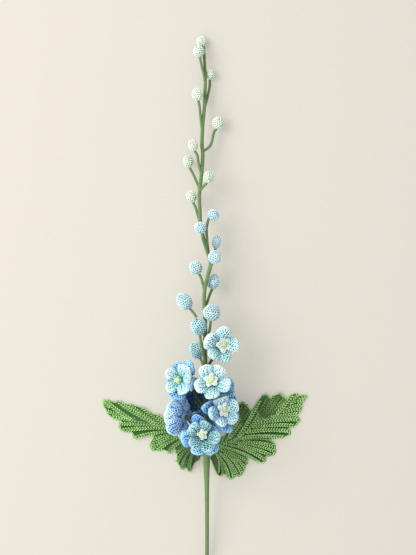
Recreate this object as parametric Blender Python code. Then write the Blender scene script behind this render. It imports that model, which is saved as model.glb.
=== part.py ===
"""Crocheted delphinium flower spike: a wired stem with yarn buds, a cluster of blooms and two ribbed leaves.

The cut stem lies on its back on the plane z = 0, its tip towards +Y, the side that is seen facing +Z.
Helper functions work in millimetres; link_mesh turns them into metres.
"""

import math

import bpy
import numpy as np

MM = 0.001

# Layout grid: u runs to the right and v down the stem from its tip, both in steps of GRID.
GRID = 1.05
GRID_U0 = 204.5
GRID_V0 = 318.7

GAP = 0.3
STEM_SIDES = 8
TWIG_SIDES = 5
TWIG_RADIUS = 1.45
WIRE_SIDES = 6
WIRE_RADIUS = 0.75
BORE_RADIUS = 1.1
WIRE_TOP_V = 122.0
BUD_SIDES = 7
SOCKET_DEPTH = 2.4
SOCKET_RADIUS = 2.1
PETALS = 5
NOTCH = 36.0
INNER_CUP = 0.026
OUTER_CUP = 0.015
EYE_HEIGHT = 5.7
# One petal of each whorl as (angle from its middle, radius), and the heights of a whorl's hub, front and back.
INNER_LOBES = ((-36.0, 11.0), (-27.0, 15.6), (-12.0, 18.3), (12.0, 18.3), (27.0, 15.6))
OUTER_LOBES = ((-36.0, 10.5), (-26.0, 17.5), (-14.0, 22.2), (0.0, 23.4), (14.0, 22.2), (26.0, 17.5))
INNER_HUB = (0.4, -3.2)
OUTER_HUB = (-3.55, -8.6)
LEAF_SPREAD = 1.016
LEAF_CENTRE = (208.0, 277.5)

# The main stem, tip first: grid position.
STEM_PATH = (
    (203.6, 43.5),
    (204.3, 55.0),
    (205.2, 70.0),
    (205.2, 84.0),
    (204.4, 105.0),
    (202.6, 125.0),
    (202.0, 143.0),
    (202.8, 155.0),
    (201.8, 170.0),
    (200.3, 183.0),
    (199.2, 196.0),
    (199.8, 210.0),
    (200.4, 222.0),
    (202.8, 235.0),
    (205.8, 247.0),
    (208.8, 256.0),
    (210.6, 264.0),
    (208.0, 275.0),
    (204.9, 288.0),
    (204.2, 300.0),
    (204.8, 315.0),
    (205.4, 330.0),
    (204.6, 345.0),
    (205.3, 362.0),
    (206.0, 380.0),
    (206.3, 400.0),
    (206.5, 430.0),
    (206.5, 441.0),
    (206.5, 450.0),
    (206.5, 460.0),
    (206.6, 472.0),
    (206.8, 486.0),
    (207.0, 513.0),
    (207.0, 555.0),
    (206.5, 604.0),
)
# How high the stem's axis lies, and how thick the stem is, at a few heights v.
STEM_LIFT_V = (43.0, 105.0, 170.0, 235.0, 300.0, 362.0, 430.0, 455.0, 484.0, 513.0, 555.0, 604.0)
STEM_LIFT = (6.2, 13.0, 19.0, 23.0, 26.0, 29.0, 29.0, 27.0, 21.0, 15.5, 8.5, 1.85)
STEM_RADIUS_V = (40.0, 125.0, 300.0, 380.0, 440.0, 460.0, 475.0, 495.0, 604.0)
STEM_RADIUS = (1.5, 1.9, 2.0, 2.4, 3.0, 3.6, 3.0, 2.2, 2.0)

# Each bud: middle (u, v), height z, width and length in grid steps, lean in degrees (+ is to the right),
# how pointed it is, then its twig's grid positions from the bud's base to the fork.
BUDS = (
    ((201.7, 38.1), 4.96, 9.6, 10.2, -20.0, 0.0, ((203.8, 43.0), (203.9, 46.0))),
    ((198.7, 49.3), 12.9, 11.0, 11.0, -11.0, 0.0, ((199.8, 55.0), (201.5, 63.0), (204.0, 73.0), (205.0, 80.0))),
    ((210.5, 71.4), 5.5, 8.3, 10.5, 5.0, 0.1, ((210.2, 77.5), (209.5, 85.0), (207.0, 97.0), (204.4, 106.0))),
    ((197.4, 92.7), 16.0, 10.5, 12.5, -8.0, 0.1, ((198.0, 98.5), (199.5, 105.0), (200.5, 115.0), (202.2, 130.0))),
    ((218.2, 121.0), 9.5, 10.8, 12.0, 18.0, 0.0, ((216.0, 127.0), (214.0, 131.0), (210.5, 144.0), (202.6, 151.0))),
    ((193.1, 145.0), 22.0, 9.2, 11.0, -18.0, 0.0, ((195.2, 150.0), (197.3, 155.0), (198.5, 162.0), (201.4, 174.0))),
    ((188.2, 160.3), 12.5, 10.2, 12.0, -14.0, 0.0, ((189.3, 166.5), (193.0, 173.0), (196.5, 181.0), (199.8, 189.0))),
    ((208.8, 176.9), 26.0, 10.2, 11.8, 20.0, 0.0, ((206.3, 182.0), (204.0, 185.5), (199.7, 190.5))),
    ((191.4, 195.7), 15.0, 10.2, 12.0, -16.0, 0.0, ((193.7, 201.5), (195.5, 207.0), (197.8, 215.0), (200.5, 224.0))),
    ((213.4, 215.0), 28.0, 11.5, 10.0, 50.0, 0.0, ((209.5, 217.5), (207.7, 222.0), (206.6, 232.0), (208.8, 256.0))),
    ((200.5, 228.1), 33.0, 11.2, 11.5, -15.0, 0.0, ((201.7, 233.5), (203.0, 240.0), (206.5, 250.0), (210.0, 260.0))),
    ((216.6, 241.4), 18.0, 8.9, 13.4, 8.0, 0.35, ((215.1, 247.8), (214.5, 252.0), (213.0, 259.0), (210.3, 266.0))),
    ((214.8, 257.2), 34.0, 12.5, 13.0, 22.0, 0.0, ((212.5, 263.2), (210.5, 268.0), (207.8, 276.0))),
    ((195.8, 267.7), 20.0, 12.0, 13.7, -28.0, 0.0, ((199.5, 274.0), (201.5, 279.0), (203.0, 285.0), (204.6, 292.0))),
    ((213.4, 281.5), 16.5, 12.4, 15.0, 10.0, 0.1, ((211.3, 288.7), (210.0, 294.0), (207.0, 303.0), (204.7, 312.0))),
    ((184.3, 301.4), 22.0, 14.0, 18.0, -38.0, 0.1, ((191.3, 309.0), (195.0, 315.0), (200.0, 326.0), (205.0, 338.0))),
    ((211.9, 312.3), 38.5, 16.3, 16.3, 8.0, 0.0, ((211.0, 320.5), (210.0, 327.0), (207.8, 338.0), (204.9, 352.0))),
    ((198.8, 326.0), 40.0, 15.3, 17.5, -8.0, 0.05, ((200.0, 334.8), (201.0, 342.0), (203.2, 352.0), (205.3, 362.0))),
    ((196.5, 350.8), 13.5, 14.0, 17.0, -25.0, 0.0, ((200.0, 358.0), (202.0, 363.0), (205.6, 372.0))),
)

# Each bloom: eye (u, v), the eye's height z, way it faces, angle of its first petal, size, whether it has
# the second whorl, then its stalk's waypoints (x, y, z) from the calyx to the stem.
BLOOMS = (
    ((222.2, 345.0), 50.0, (0.35, 0.05, 0.93), 80.0, 0.98, False,
     ((14.5, -34.0, 36.0), (7.0, -44.0, 31.5), (1.0, -55.0, 29.0))),
    ((212.5, 379.3), 62.0, (0.05, 0.10, 1.00), 55.0, 1.0, False,
     ((7.6, -67.0, 46.0), (5.0, -77.0, 36.0), (1.7, -88.0, 29.0))),
    ((179.1, 378.0), 50.0, (-0.50, 0.05, 0.86), 34.0, 0.9, True,
     ((-13.0, -73.0, 34.5), (-4.5, -86.0, 31.0), (1.9, -95.0, 29.0))),
    ((224.0, 407.8), 58.0, (0.50, 0.12, 0.86), 116.0, 0.95, True,
     ((8.5, -103.0, 40.0), (5.0, -111.0, 34.0), (2.0, -120.0, 29.0))),
    ((202.8, 432.6), 62.0, (0.10, -0.05, 0.99), 75.0, 0.92, True,
     ((-3.5, -118.0, 44.5), (-1.0, -124.0, 36.0), (2.1, -133.0, 28.0))),
    ((175.5, 416.5), 33.0, (-0.80, -0.05, -0.55), 36.0, 1.0, True,
     ((-12.0, -104.5, 42.0), (-5.5, -112.0, 36.5), (2.0, -124.0, 29.0))),
    ((190.0, 399.0), 12.0, (-0.45, 0.15, -0.88), 20.0, 0.95, True,
     ((-5.5, -90.5, 27.6), (-2.0, -95.0, 28.6), (1.9, -101.0, 29.0))),
    ((225.0, 391.0), 18.0, (0.60, 0.25, -0.75), 65.0, 0.85, True,
     ((9.5, -83.0, 29.6), (6.0, -87.0, 29.4), (1.9, -95.0, 29.0))),
    ((207.0, 424.0), 6.5, (0.10, -0.20, -0.97), 90.0, 0.85, True,
     ((1.5, -109.0, 23.0), (1.8, -112.0, 26.0), (2.0, -116.0, 29.0))),
)
# Petals of some blooms that lie unevenly, by bloom: the inner whorl's, then the outer whorl's. A petal is its
# angle, how much farther out it reaches, its width as a share of the usual and how far its tip is lifted.
UNEVEN_PETALS = {
    0: (
        ((8.0, -1.2, 1.0, 5.0), (86.0, 0.8, 1.0, 5.0), (160.0, 0.8, 1.1, 0.0), (222.0, 0.3, 1.05, 0.0),
         (284.0, -0.3, 1.0, 0.0)),
        (),
    ),
    2: (
        ((2.0, -0.5, 0.8, 0.0), (60.0, -0.5, 1.2, 0.0), (149.0, 0.0, 0.85, 3.0), (221.0, 1.0, 0.9, 0.0),
         (297.0, -1.5, 1.15, 0.0)),
        ((-15.0, 1.0, 1.0, 0.0), (45.0, 2.0, 1.15, 0.0), (115.0, -3.0, 0.8, 0.0), (185.0, -4.0, 0.8, 0.0),
         (252.0, 2.5, 1.25, 0.0)),
    ),
    3: (
        ((22.0, -0.5, 1.05, 2.0), (102.0, -0.5, 1.15, 0.0), (190.0, 1.5, 1.15, 0.0), (251.0, -0.5, 1.0, 0.0),
         (320.0, 0.0, 1.0, 0.0)),
        ((-20.0, -1.0, 1.0, 0.0), (45.0, 0.0, 0.9, 0.0), (100.0, -1.0, 0.9, 0.0), (158.0, 1.5, 1.15, 0.0),
         (267.0, 1.5, 1.3, 0.0)),
    ),
    4: (
        ((-4.0, 1.0, 0.95, 4.0), (70.0, 0.0, 0.9, 0.0), (140.0, -0.5, 1.1, 0.0), (226.0, -1.0, 1.1, 0.0),
         (302.0, 0.0, 1.0, 0.0)),
        ((25.0, 0.0, 0.9, 0.0), (98.0, 1.5, 1.15, 0.0), (188.0, 0.0, 1.15, 0.0), (251.0, -0.5, 1.0, 0.0),
         (311.0, 0.5, 1.05, 0.0)),
    ),
}
LIFT_RADIUS = 18.4
# Where the heart and eye of some blooms sit off the middle (x, y), and the eye's angle and length share.
SEATS = {
    0: ((2.0, 1.3), 50.0, 1.05),
    1: ((-1.5, 2.0), 30.0, 1.35),
    2: ((-2.2, -0.5), 0.0, 1.2),
    3: ((0.5, 1.5), 40.0, 1.0),
    4: ((0.0, 2.0), 20.0, 0.75),
}
SEAT_RISE = 0.4
# Planes that single blooms are pressed against, besides their neighbours' and the stem's: bloom, a point
# on the plane and the direction that is out of bounds.
PRESSES = (
    (5, (0.0, 0.0, 8.0), (0.0, 0.0, -1.0)),
    (6, (0.0, 0.0, 0.0), (0.0, 0.0, -1.0)),
    (7, (0.0, 0.0, 0.0), (0.0, 0.0, -1.0)),
    (8, (0.0, 0.0, 0.0), (0.0, 0.0, -1.0)),
    (7, (34.0, 0.0, 0.0), (1.0, 0.0, 0.0)),
    (8, (0.0, -129.0, 0.0), (0.0, -1.0, 0.0)),
)
PRESS_DEPTH = 5.0
# The plane between two blooms leans by this much more than the line between them is steep, so that the
# higher bloom's petals lie over the lower one's.
OVERLAP = np.array([1.0, 1.0, 1.8])

# Leaf midribs, stalk end first, then the fingers of both halves from the stalk to the point. A finger is its
# tip, where its rib leaves the midrib (0 at the stalk, 1 at the point) and the notch after it with its own foot.
RIGHT_MIDRIB = (
    (212.5, 449.0), (218.4, 444.9), (232.4, 439.8), (244.5, 432.8), (250.0, 427.7),
    (262.8, 420.1), (281.9, 411.8), (294.6, 402.2), (306.4, 396.8),
)
RIGHT_UPPER = (
    ((210.0, 444.5), 0.0),
    ((223.3, 437.0), 0.08, (226.5, 436.0), 0.12),
    ((237.6, 401.6), 0.22, (241.4, 404.0), 0.26),
    ((246.8, 403.6), 0.31, (250.5, 412.0), 0.38),
    ((261.0, 396.0), 0.44, (264.0, 398.6), 0.48),
    ((267.6, 393.2), 0.52, (270.7, 398.8), 0.57),
    ((279.6, 392.4), 0.62, (281.9, 396.0), 0.66),
    ((285.6, 394.0), 0.70, (286.4, 398.7), 0.75),
    ((295.2, 392.6), 0.83, (298.6, 396.8), 0.90),
)
RIGHT_LOWER = (
    ((210.0, 454.6), 0.0),
    ((219.2, 477.2), 0.03, (224.4, 473.8), 0.05),
    ((231.6, 480.2), 0.08, (235.8, 475.6), 0.10),
    ((241.4, 477.0), 0.13, (244.0, 471.6), 0.15),
    ((248.2, 465.8), 0.18, (246.6, 457.4), 0.24),
    ((264.9, 463.8), 0.30, (267.5, 457.1), 0.34),
    ((274.6, 456.4), 0.37, (273.0, 450.4), 0.40),
    ((276.6, 445.6), 0.43, (266.8, 440.4), 0.47),
    ((281.2, 440.8), 0.52, (284.0, 436.8), 0.56),
    ((291.4, 436.2), 0.60, (289.4, 429.6), 0.64),
    ((295.2, 427.4), 0.68, (295.6, 423.4), 0.71),
    ((300.8, 420.6), 0.75, (297.4, 416.3), 0.79),
    ((301.9, 410.2), 0.85, (301.0, 405.6), 0.89),
    ((304.4, 402.4), 0.94, (304.4, 400.0), 0.97),
)
LEFT_MIDRIB = (
    (200.2, 448.0), (190.0, 440.0), (176.0, 431.5), (158.0, 424.5), (143.0, 421.5),
    (128.3, 418.0), (119.4, 412.4), (110.0, 405.5), (103.0, 401.0),
)
LEFT_UPPER = (
    ((203.0, 443.8), 0.0),
    ((184.0, 431.0), 0.17, (176.5, 427.5), 0.26),
    ((163.0, 417.3), 0.37, (158.4, 417.0), 0.41),
    ((152.2, 413.2), 0.48, (148.0, 413.2), 0.52),
    ((141.0, 406.6), 0.58, (137.0, 407.8), 0.63),
    ((128.0, 403.4), 0.71, (124.4, 405.2), 0.75),
    ((116.6, 399.6), 0.84, (112.8, 402.0), 0.91),
)
LEFT_LOWER = (
    ((203.0, 452.6), 0.0),
    ((197.9, 461.9), 0.02, (194.2, 462.8), 0.04),
    ((190.0, 472.6), 0.07, (186.4, 464.6), 0.10),
    ((182.4, 470.6), 0.13, (179.2, 464.0), 0.16),
    ((175.9, 460.6), 0.19, (175.0, 448.4), 0.26),
    ((167.6, 454.2), 0.31, (163.2, 448.6), 0.35),
    ((150.8, 450.0), 0.42, (151.6, 445.2), 0.44),
    ((149.4, 441.6), 0.47, (156.0, 435.8), 0.50),
    ((144.4, 437.4), 0.54, (139.6, 435.4), 0.56),
    ((131.0, 438.0), 0.60, (132.2, 433.0), 0.64),
    ((120.8, 431.2), 0.68, (121.8, 427.8), 0.70),
    ((118.0, 425.4), 0.73, (120.4, 421.6), 0.77),
    ((110.4, 416.8), 0.83, (108.8, 413.8), 0.86),
    ((104.6, 411.4), 0.90, (105.4, 407.6), 0.93),
    ((102.8, 404.8), 0.96, (103.0, 403.0), 0.98),
)
LEAF_ROOT_LIFT = 26.5
LEAF_JOINTS = 12
LEAF_FLAT = 0.4
LEAF_WEB = 0.6
LEAF_RIB = 1.1
LEAF_ROWS = (0.0, 0.5, 1.0)

COLOURS = {
    "stem": ((0.20, 0.38, 0.10, 1.0), 0.8, 0.0),
    "wire": ((0.45, 0.45, 0.46, 1.0), 0.35, 1.0),
    "leaf": ((0.15, 0.33, 0.08, 1.0), 0.85, 0.0),
    "bud_mint": ((0.72, 0.86, 0.74, 1.0), 0.9, 0.0),
    "bud_sky": ((0.60, 0.78, 0.84, 1.0), 0.9, 0.0),
    "bud_blue": ((0.42, 0.66, 0.76, 1.0), 0.9, 0.0),
    "petal_pale": ((0.55, 0.78, 0.82, 1.0), 0.9, 0.0),
    "petal_blue": ((0.13, 0.30, 0.62, 1.0), 0.9, 0.0),
    "heart": ((0.88, 0.90, 0.87, 1.0), 0.9, 0.0),
    "eye": ((0.45, 0.55, 0.17, 1.0), 0.9, 0.0),
}


def clear_scene():
    """Remove the objects that the scene starts with."""
    for old in list(bpy.data.objects):
        bpy.data.objects.remove(old, do_unlink=True)


def material(name):
    """The Principled material of that name from COLOURS."""
    made = bpy.data.materials.get(name)
    if made is None:
        made = bpy.data.materials.new(name)
        made.use_nodes = True
        shader = made.node_tree.nodes["Principled BSDF"]
        colour, roughness, metallic = COLOURS[name]
        shader.inputs["Base Color"].default_value = colour
        shader.inputs["Roughness"].default_value = roughness
        shader.inputs["Metallic"].default_value = metallic
        made.diffuse_color = colour
    return made


def link_mesh(name, vertices, faces, finish, collection=None):
    """An object from points in millimetres, linked to the scene or to a helper collection."""
    mesh = bpy.data.meshes.new(name)
    points = np.asarray(vertices, dtype=float) * MM
    mesh.from_pydata(points.tolist(), [], faces)
    mesh.validate()
    mesh.shade_smooth()
    obj = bpy.data.objects.new(name, mesh)
    mesh.materials.append(material(finish))
    (collection or bpy.context.scene.collection).objects.link(obj)
    return obj


def unit(vector):
    """The vector at length 1."""
    vector = np.asarray(vector, dtype=float)
    return vector / np.linalg.norm(vector)


def on_grid(u, v, z=0.0):
    """A grid position at height z, in millimetres."""
    return np.array([(u - GRID_U0) * GRID, (GRID_V0 - v) * GRID, z])


def smooth_path(points, per_span):
    """A Catmull-Rom curve through the points, with per_span steps between two of them."""
    points = np.asarray(points, dtype=float)
    ends = np.vstack([2 * points[0] - points[1], points, 2 * points[-1] - points[-2]])
    steps = np.arange(per_span)[:, None] / per_span
    spans = []
    for i in range(len(points) - 1):
        a, b, c, d = ends[i:i + 4]
        spans.append(
            0.5 * (2 * b + (c - a) * steps + (2 * a - 5 * b + 4 * c - d) * steps**2
                   + (3 * b - a - 3 * c + d) * steps**3)
        )
    return np.vstack(spans + [points[-1:]])


def ring_body(rings, first_pole, last_pole):
    """A closed body from rings of points that lie one after another, with a point closing each end."""
    rings = np.asarray(rings, dtype=float)
    count, sides = rings.shape[:2]
    vertices = np.vstack([[first_pole], rings.reshape(-1, 3), [last_pole]])
    faces = []
    last = len(vertices) - 1
    for i in range(sides):
        j = (i + 1) % sides
        faces.append((0, 1 + j, 1 + i))
        for k in range(count - 1):
            a = 1 + k * sides
            b = a + sides
            faces.append((a + i, a + j, b + j))
            faces.append((a + i, b + j, b + i))
        faces.append((1 + (count - 1) * sides + i, 1 + (count - 1) * sides + j, last))
    volume = 0.0
    for a, b, c in faces:
        volume += np.dot(vertices[a], np.cross(vertices[b], vertices[c]))
    if volume < 0:
        faces = [face[::-1] for face in faces]
    return vertices, faces


def tube_rings(path, radii, sides, turn=0.5):
    """The rings of a tube along a path, each square to it and starting on the side that faces down."""
    path = np.asarray(path, dtype=float)
    along = np.gradient(path, axis=0)
    along /= np.linalg.norm(along, axis=1)[:, None]
    side = np.cross(along, (0.0, 0.0, 1.0))
    steep = np.linalg.norm(side, axis=1) < 0.3
    side[steep] = np.cross(along[steep], (1.0, 0.0, 0.0))
    for i in range(1, len(path)):
        if np.dot(side[i], side[i - 1]) < 0.5 * np.linalg.norm(side[i]) * np.linalg.norm(side[i - 1]):
            side[i] = side[i - 1] - along[i] * np.dot(side[i - 1], along[i])
    side /= np.linalg.norm(side, axis=1)[:, None]
    up = np.cross(side, along)
    angles = 2 * math.pi * (np.arange(sides) + turn) / sides - math.pi / 2
    across = np.cos(angles)[None, :, None] * side[:, None, :]
    lift = np.sin(angles)[None, :, None] * up[:, None, :]
    return path[:, None, :] + np.asarray(radii)[:, None, None] * (across + lift)


def tube(path, radii, sides, turn=0.5):
    """A closed tube along a path."""
    rings = tube_rings(path, radii, sides, turn)
    return ring_body(rings, path[0], path[-1])


def stem_axis():
    """The main stem's axis as points, and its radius at each of them."""
    points = [on_grid(u, v, np.interp(v, STEM_LIFT_V, STEM_LIFT)) for u, v in STEM_PATH]
    path = np.array(points)
    heights = GRID_V0 - path[:, 1] / GRID
    radii = np.interp(heights, STEM_RADIUS_V, STEM_RADIUS)
    return path, radii


def bud_frame(bud):
    """A bud's middle, the direction it points in and its two half sizes."""
    (u, v), z, width, length, lean, _, _ = bud
    axis = np.array([math.sin(math.radians(lean)), math.cos(math.radians(lean)), 0.0])
    return on_grid(u, v, z), axis, 0.5 * width * GRID, 0.5 * length * GRID


def bud_twig(bud):
    """The twig from inside a bud's socket to its fork on the stem."""
    middle, axis, _, half = bud_frame(bud)
    base = middle - half * axis
    waypoints = bud[6]
    fork_u, fork_v = waypoints[-1]
    fork = on_grid(fork_u, fork_v, np.interp(fork_v, STEM_LIFT_V, STEM_LIFT))
    points = [base + (SOCKET_DEPTH - GAP) * axis, base - 1.0 * axis]
    inner = [on_grid(u, v) for u, v in waypoints[1:-1]]
    reach = np.linalg.norm((fork - base)[:2])
    for point in inner:
        share = np.linalg.norm((point - base)[:2]) / reach
        point[2] = base[2] + (fork[2] - base[2]) * min(1.0, share) ** 1.5
        points.append(point)
    points.append(fork)
    path = smooth_path(points, 1)
    radii = np.full(len(path), TWIG_RADIUS)
    return tube(path, radii, TWIG_SIDES)


def make_bud(name, bud, finish):
    """A yarn ball turned round its own axis, with a socket in its base for the twig."""
    middle, axis, radius, half = bud_frame(bud)
    point = bud[5]
    base = -half
    profile = []
    for share in (0.92, 0.62, 0.18, -0.30, -0.72):
        swell = math.sqrt(1 - share**2) * (1 - point * max(0.0, share))
        profile.append((radius * swell, half * share))
    profile.append((SOCKET_RADIUS + 0.7, base + 0.15))
    profile.append((SOCKET_RADIUS, base + 0.25))
    profile.append((SOCKET_RADIUS, base + SOCKET_DEPTH))
    side = np.cross(axis, (0.0, 0.0, 1.0))
    angles = 2 * math.pi * np.arange(BUD_SIDES) / BUD_SIDES - math.pi / 2
    rings = []
    for width, height in profile:
        offsets = np.cos(angles)[:, None] * side + np.sin(angles)[:, None] * np.array([0.0, 0.0, 1.0])
        rings.append(middle + height * axis + width * offsets)
    vertices, faces = ring_body(rings, middle + half * axis, middle + (base + SOCKET_DEPTH) * axis)
    return link_mesh(name, vertices, faces, finish)


def bloom_frame(bloom):
    """A bloom's heart, its facing direction and the two directions across it."""
    (u, v), z, facing = bloom[:3]
    facing = unit(facing)
    across = np.array([1.0, 0.0, 0.0])
    across = unit(across - facing * np.dot(across, facing))
    if abs(facing[0]) > 0.9:
        across = unit(np.array([0.0, 0.0, 1.0]) - facing * facing[2])
    heart = on_grid(u, v, z) - EYE_HEIGHT * bloom[4] * facing
    return heart, facing, across, np.cross(facing, across)


def press(points, origin, outward):
    """Push points back from a plane, smoothly, so that none passes it and none changes places.

    Points deeper than PRESS_DEPTH inside stay. The nearer ones, and those beyond the plane, close up
    exponentially on a sheet that lies half a gap inside it.
    """
    outward = unit(outward)
    beyond = (points - np.asarray(origin, dtype=float)) @ outward
    room = PRESS_DEPTH - 0.5 * GAP
    pressed = -0.5 * GAP - room * np.exp(-np.maximum(beyond + PRESS_DEPTH, 0.0) / room)
    shift = np.where(beyond > -PRESS_DEPTH, pressed - beyond, 0.0)
    return points + shift[:, None] * outward


def bloom_middle(bloom):
    """The middle of a bloom's bulk, a little behind its heart."""
    heart, facing, _, _ = bloom_frame(bloom)
    return heart - 1.0 * facing * bloom[4]


def bloom_planes(index):
    """The planes that keep a bloom clear of the other blooms, of the stem and of what PRESSES names."""
    own = bloom_middle(BLOOMS[index])
    planes = []
    for other, bloom in enumerate(BLOOMS):
        if other == index:
            continue
        away = bloom_middle(bloom) - own
        if np.linalg.norm(away) < 58.0:
            share = BLOOMS[index][4] / (BLOOMS[index][4] + bloom[4])
            planes.append((own + share * away, away * OVERLAP))
    path, radii = stem_axis()
    nearest = int(np.argmin(abs(path[:, 1] - own[1])))
    height = np.array([path[nearest, 0], own[1], np.interp(own[1], path[::-1, 1], path[::-1, 2])])
    inward = height - own
    inward[1] = 0.0
    planes.append((height - unit(inward) * (radii[nearest] + 1.2), inward))
    for chosen, origin, outward in PRESSES:
        if chosen == index:
            planes.append((np.array(origin), np.array(outward)))
    return planes


def pressed_in_place(index, local):
    """Points of a bloom's own frame, set in the cluster and pressed against its neighbours."""
    bloom = BLOOMS[index]
    heart, facing, across, along = bloom_frame(bloom)
    local = np.asarray(local, dtype=float) * bloom[4]
    points = heart + local[:, :1] * across + local[:, 1:2] * along + local[:, 2:] * facing
    for origin, outward in bloom_planes(index):
        points = press(points, origin, outward)
    return points


def whorl_outline(index, lobes, turn):
    """The outline of a ring of petals as (angle, radius, offset from the petal's middle in degrees, lift).

    The notches lie halfway between the petals, and a petal that stands close to its neighbour is narrower there.
    """
    petals = UNEVEN_PETALS.get(index, ((), ()))[1 if turn else 0]
    if not petals:
        step = 2 * NOTCH
        petals = [(BLOOMS[index][3] + turn + step * petal, 0.0, 1.0, 0.0) for petal in range(PETALS)]
    outline = []
    for number, (middle, out, wide, lift) in enumerate(petals):
        before = (middle - petals[number - 1][0]) % 360.0
        after = (petals[(number + 1) % PETALS][0] - middle) % 360.0
        for offset, radius in lobes:
            room = (before if offset < 0 else after) / (2 * NOTCH)
            if abs(offset) < NOTCH:
                angle = math.radians(middle + offset * min(wide, room))
                outline.append((angle, radius + out, offset, lift))
            else:
                outline.append((math.radians(middle + offset * room), radius, offset, 0.0))
    return outline


def whorl(name, index, finish, lobes, level, cup, thick, hub, turn):
    """A ring of petals as one closed body: a lobed outline, thin in the notches, cupped towards the front.

    lobes are (angle from the petal's middle, radius) pairs for one petal, level the height of its middle
    sheet, cup how that rises outwards, thick half the petals' thickness and hub the heights of its middle,
    front and back.
    """
    outline = whorl_outline(index, lobes, turn)
    rings = []
    for share, fullness in ((0.45, 0.9), (0.85, 1.0), (1.0, 0.0), (0.85, -1.0), (0.45, -0.9)):
        ring = []
        for angle, radius, offset, lift in outline:
            r = radius * share
            puff = thick * (1.0 - 0.55 * (abs(offset) / NOTCH) ** 2)
            height = level + cup * r * r + fullness * puff + lift * (r / LIFT_RADIUS) ** 3
            ring.append((r * math.cos(angle), r * math.sin(angle), height))
        rings.append(ring)
    count = len(outline)
    flat = np.array(rings).reshape(-1, 3)
    points = pressed_in_place(index, np.vstack([[(0.0, 0.0, hub[0])], flat, [(0.0, 0.0, hub[1])]]))
    vertices, faces = ring_body(points[1:-1].reshape(5, count, 3), points[0], points[-1])
    return link_mesh(name, vertices, faces, finish)


def seat(index):
    """Where a bloom's heart and eye sit off its middle, and the eye's angle and length share."""
    (x, y), turn, long = SEATS.get(index, ((0.0, 0.0), BLOOMS[index][3] + 30.0, 1.0))
    return np.array([x, y, SEAT_RISE * math.hypot(x, y)]), math.radians(turn), long


def heart_body(name, index):
    """The white middle of a bloom: five small puffs round a dip, hollow below to sit on the petals."""
    sides = 15
    shift = seat(index)[0]
    first = math.radians(BLOOMS[index][3])
    rings = []
    for radius, height, lift in ((3.9, 4.4, 0.7), (6.1, 3.2, 0.3), (4.0, 2.1, 0.0)):
        ring = []
        for k in range(sides):
            angle = first + 2 * math.pi * k / sides
            wave = 0.5 + 0.5 * math.cos(PETALS * (angle - first))
            r = radius * (0.86 + 0.14 * wave)
            ring.append((r * math.cos(angle), r * math.sin(angle), height + lift * wave))
        rings.append(ring)
    flat = np.array(rings).reshape(-1, 3)
    points = pressed_in_place(index, shift + np.vstack([[(0.0, 0.0, 3.7)], flat, [(0.0, 0.0, 0.75)]]))
    vertices, faces = ring_body(points[1:-1].reshape(3, sides, 3), points[0], points[-1])
    return link_mesh(name, vertices, faces, "heart")


def eye_body(name, index):
    """The oblong knot in the dip of a bloom's heart."""
    sides = 8
    shift, first, long = seat(index)
    rings = []
    for share, height in ((0.62, 6.5), (1.0, EYE_HEIGHT), (0.6, 4.85)):
        ring = []
        for k in range(sides):
            angle = 2 * math.pi * k / sides
            x = 4.1 * long * share * math.cos(angle)
            y = 2.4 * share * math.sin(angle)
            turned = (x * math.cos(first) - y * math.sin(first), x * math.sin(first) + y * math.cos(first))
            ring.append((*turned, height))
        rings.append(ring)
    flat = np.array(rings).reshape(-1, 3)
    points = pressed_in_place(index, shift + np.vstack([[(0.0, 0.0, 6.9)], flat, [(0.0, 0.0, 4.05)]]))
    vertices, faces = ring_body(points[1:-1].reshape(3, sides, 3), points[0], points[-1])
    return link_mesh(name, vertices, faces, "eye")


def bloom_stalk(index):
    """The stalk of a bloom, from the green calyx behind its petals to the stem."""
    bloom = BLOOMS[index]
    heart, facing, _, _ = bloom_frame(bloom)
    depth = (OUTER_HUB[1] if bloom[5] else INNER_HUB[1]) * -bloom[4] + GAP
    top = heart - depth * facing
    points = [top, top - 2.2 * facing]
    points += [np.array(point) for point in bloom[6]]
    path = smooth_path(points, 1)
    radii = np.full(len(path), TWIG_RADIUS + 0.1)
    radii[0] = 2.6
    radii[1] = 1.9
    return tube(path, radii, TWIG_SIDES + 1)


def make_bloom(index):
    """The nodes of one bloom, back to front."""
    name = f"bloom_{index + 1}"
    if BLOOMS[index][5]:
        whorl(f"{name}_outer_petals", index, "petal_blue", OUTER_LOBES, -6.2, OUTER_CUP, 2.3, OUTER_HUB, 36.0)
    whorl(f"{name}_inner_petals", index, "petal_pale", INNER_LOBES, -1.0, INNER_CUP, 3.0, INNER_HUB, 0.0)
    heart_body(f"{name}_heart", index)
    eye_body(f"{name}_eye", index)


def unite(name, pieces, finish, cutter=None):
    """Join closed bodies to one by a Boolean union on their collection, then take the cutter away from it."""
    helpers = bpy.data.collections.new(f"{name}_pieces")
    bpy.context.scene.collection.children.link(helpers)
    made = link_mesh(name, *pieces[0], finish)
    for i, (vertices, faces) in enumerate(pieces[1:]):
        link_mesh(f"{name}_piece_{i}", vertices, faces, finish, helpers)
    join = made.modifiers.new("join", "BOOLEAN")
    join.operation = "UNION"
    join.operand_type = "COLLECTION"
    join.collection = helpers
    join.solver = "MANIFOLD"
    blade = None
    if cutter is not None:
        blade = link_mesh(f"{name}_cutter", *cutter, finish)
        cut = made.modifiers.new("cut", "BOOLEAN")
        cut.operation = "DIFFERENCE"
        cut.object = blade
        cut.solver = "MANIFOLD"
    graph = bpy.context.evaluated_depsgraph_get()
    mesh = bpy.data.meshes.new_from_object(made.evaluated_get(graph))
    made.modifiers.clear()
    made.data = mesh
    for helper in list(helpers.objects):
        bpy.data.objects.remove(helper, do_unlink=True)
    bpy.data.collections.remove(helpers)
    if blade is not None:
        bpy.data.objects.remove(blade, do_unlink=True)
    return made


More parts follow.
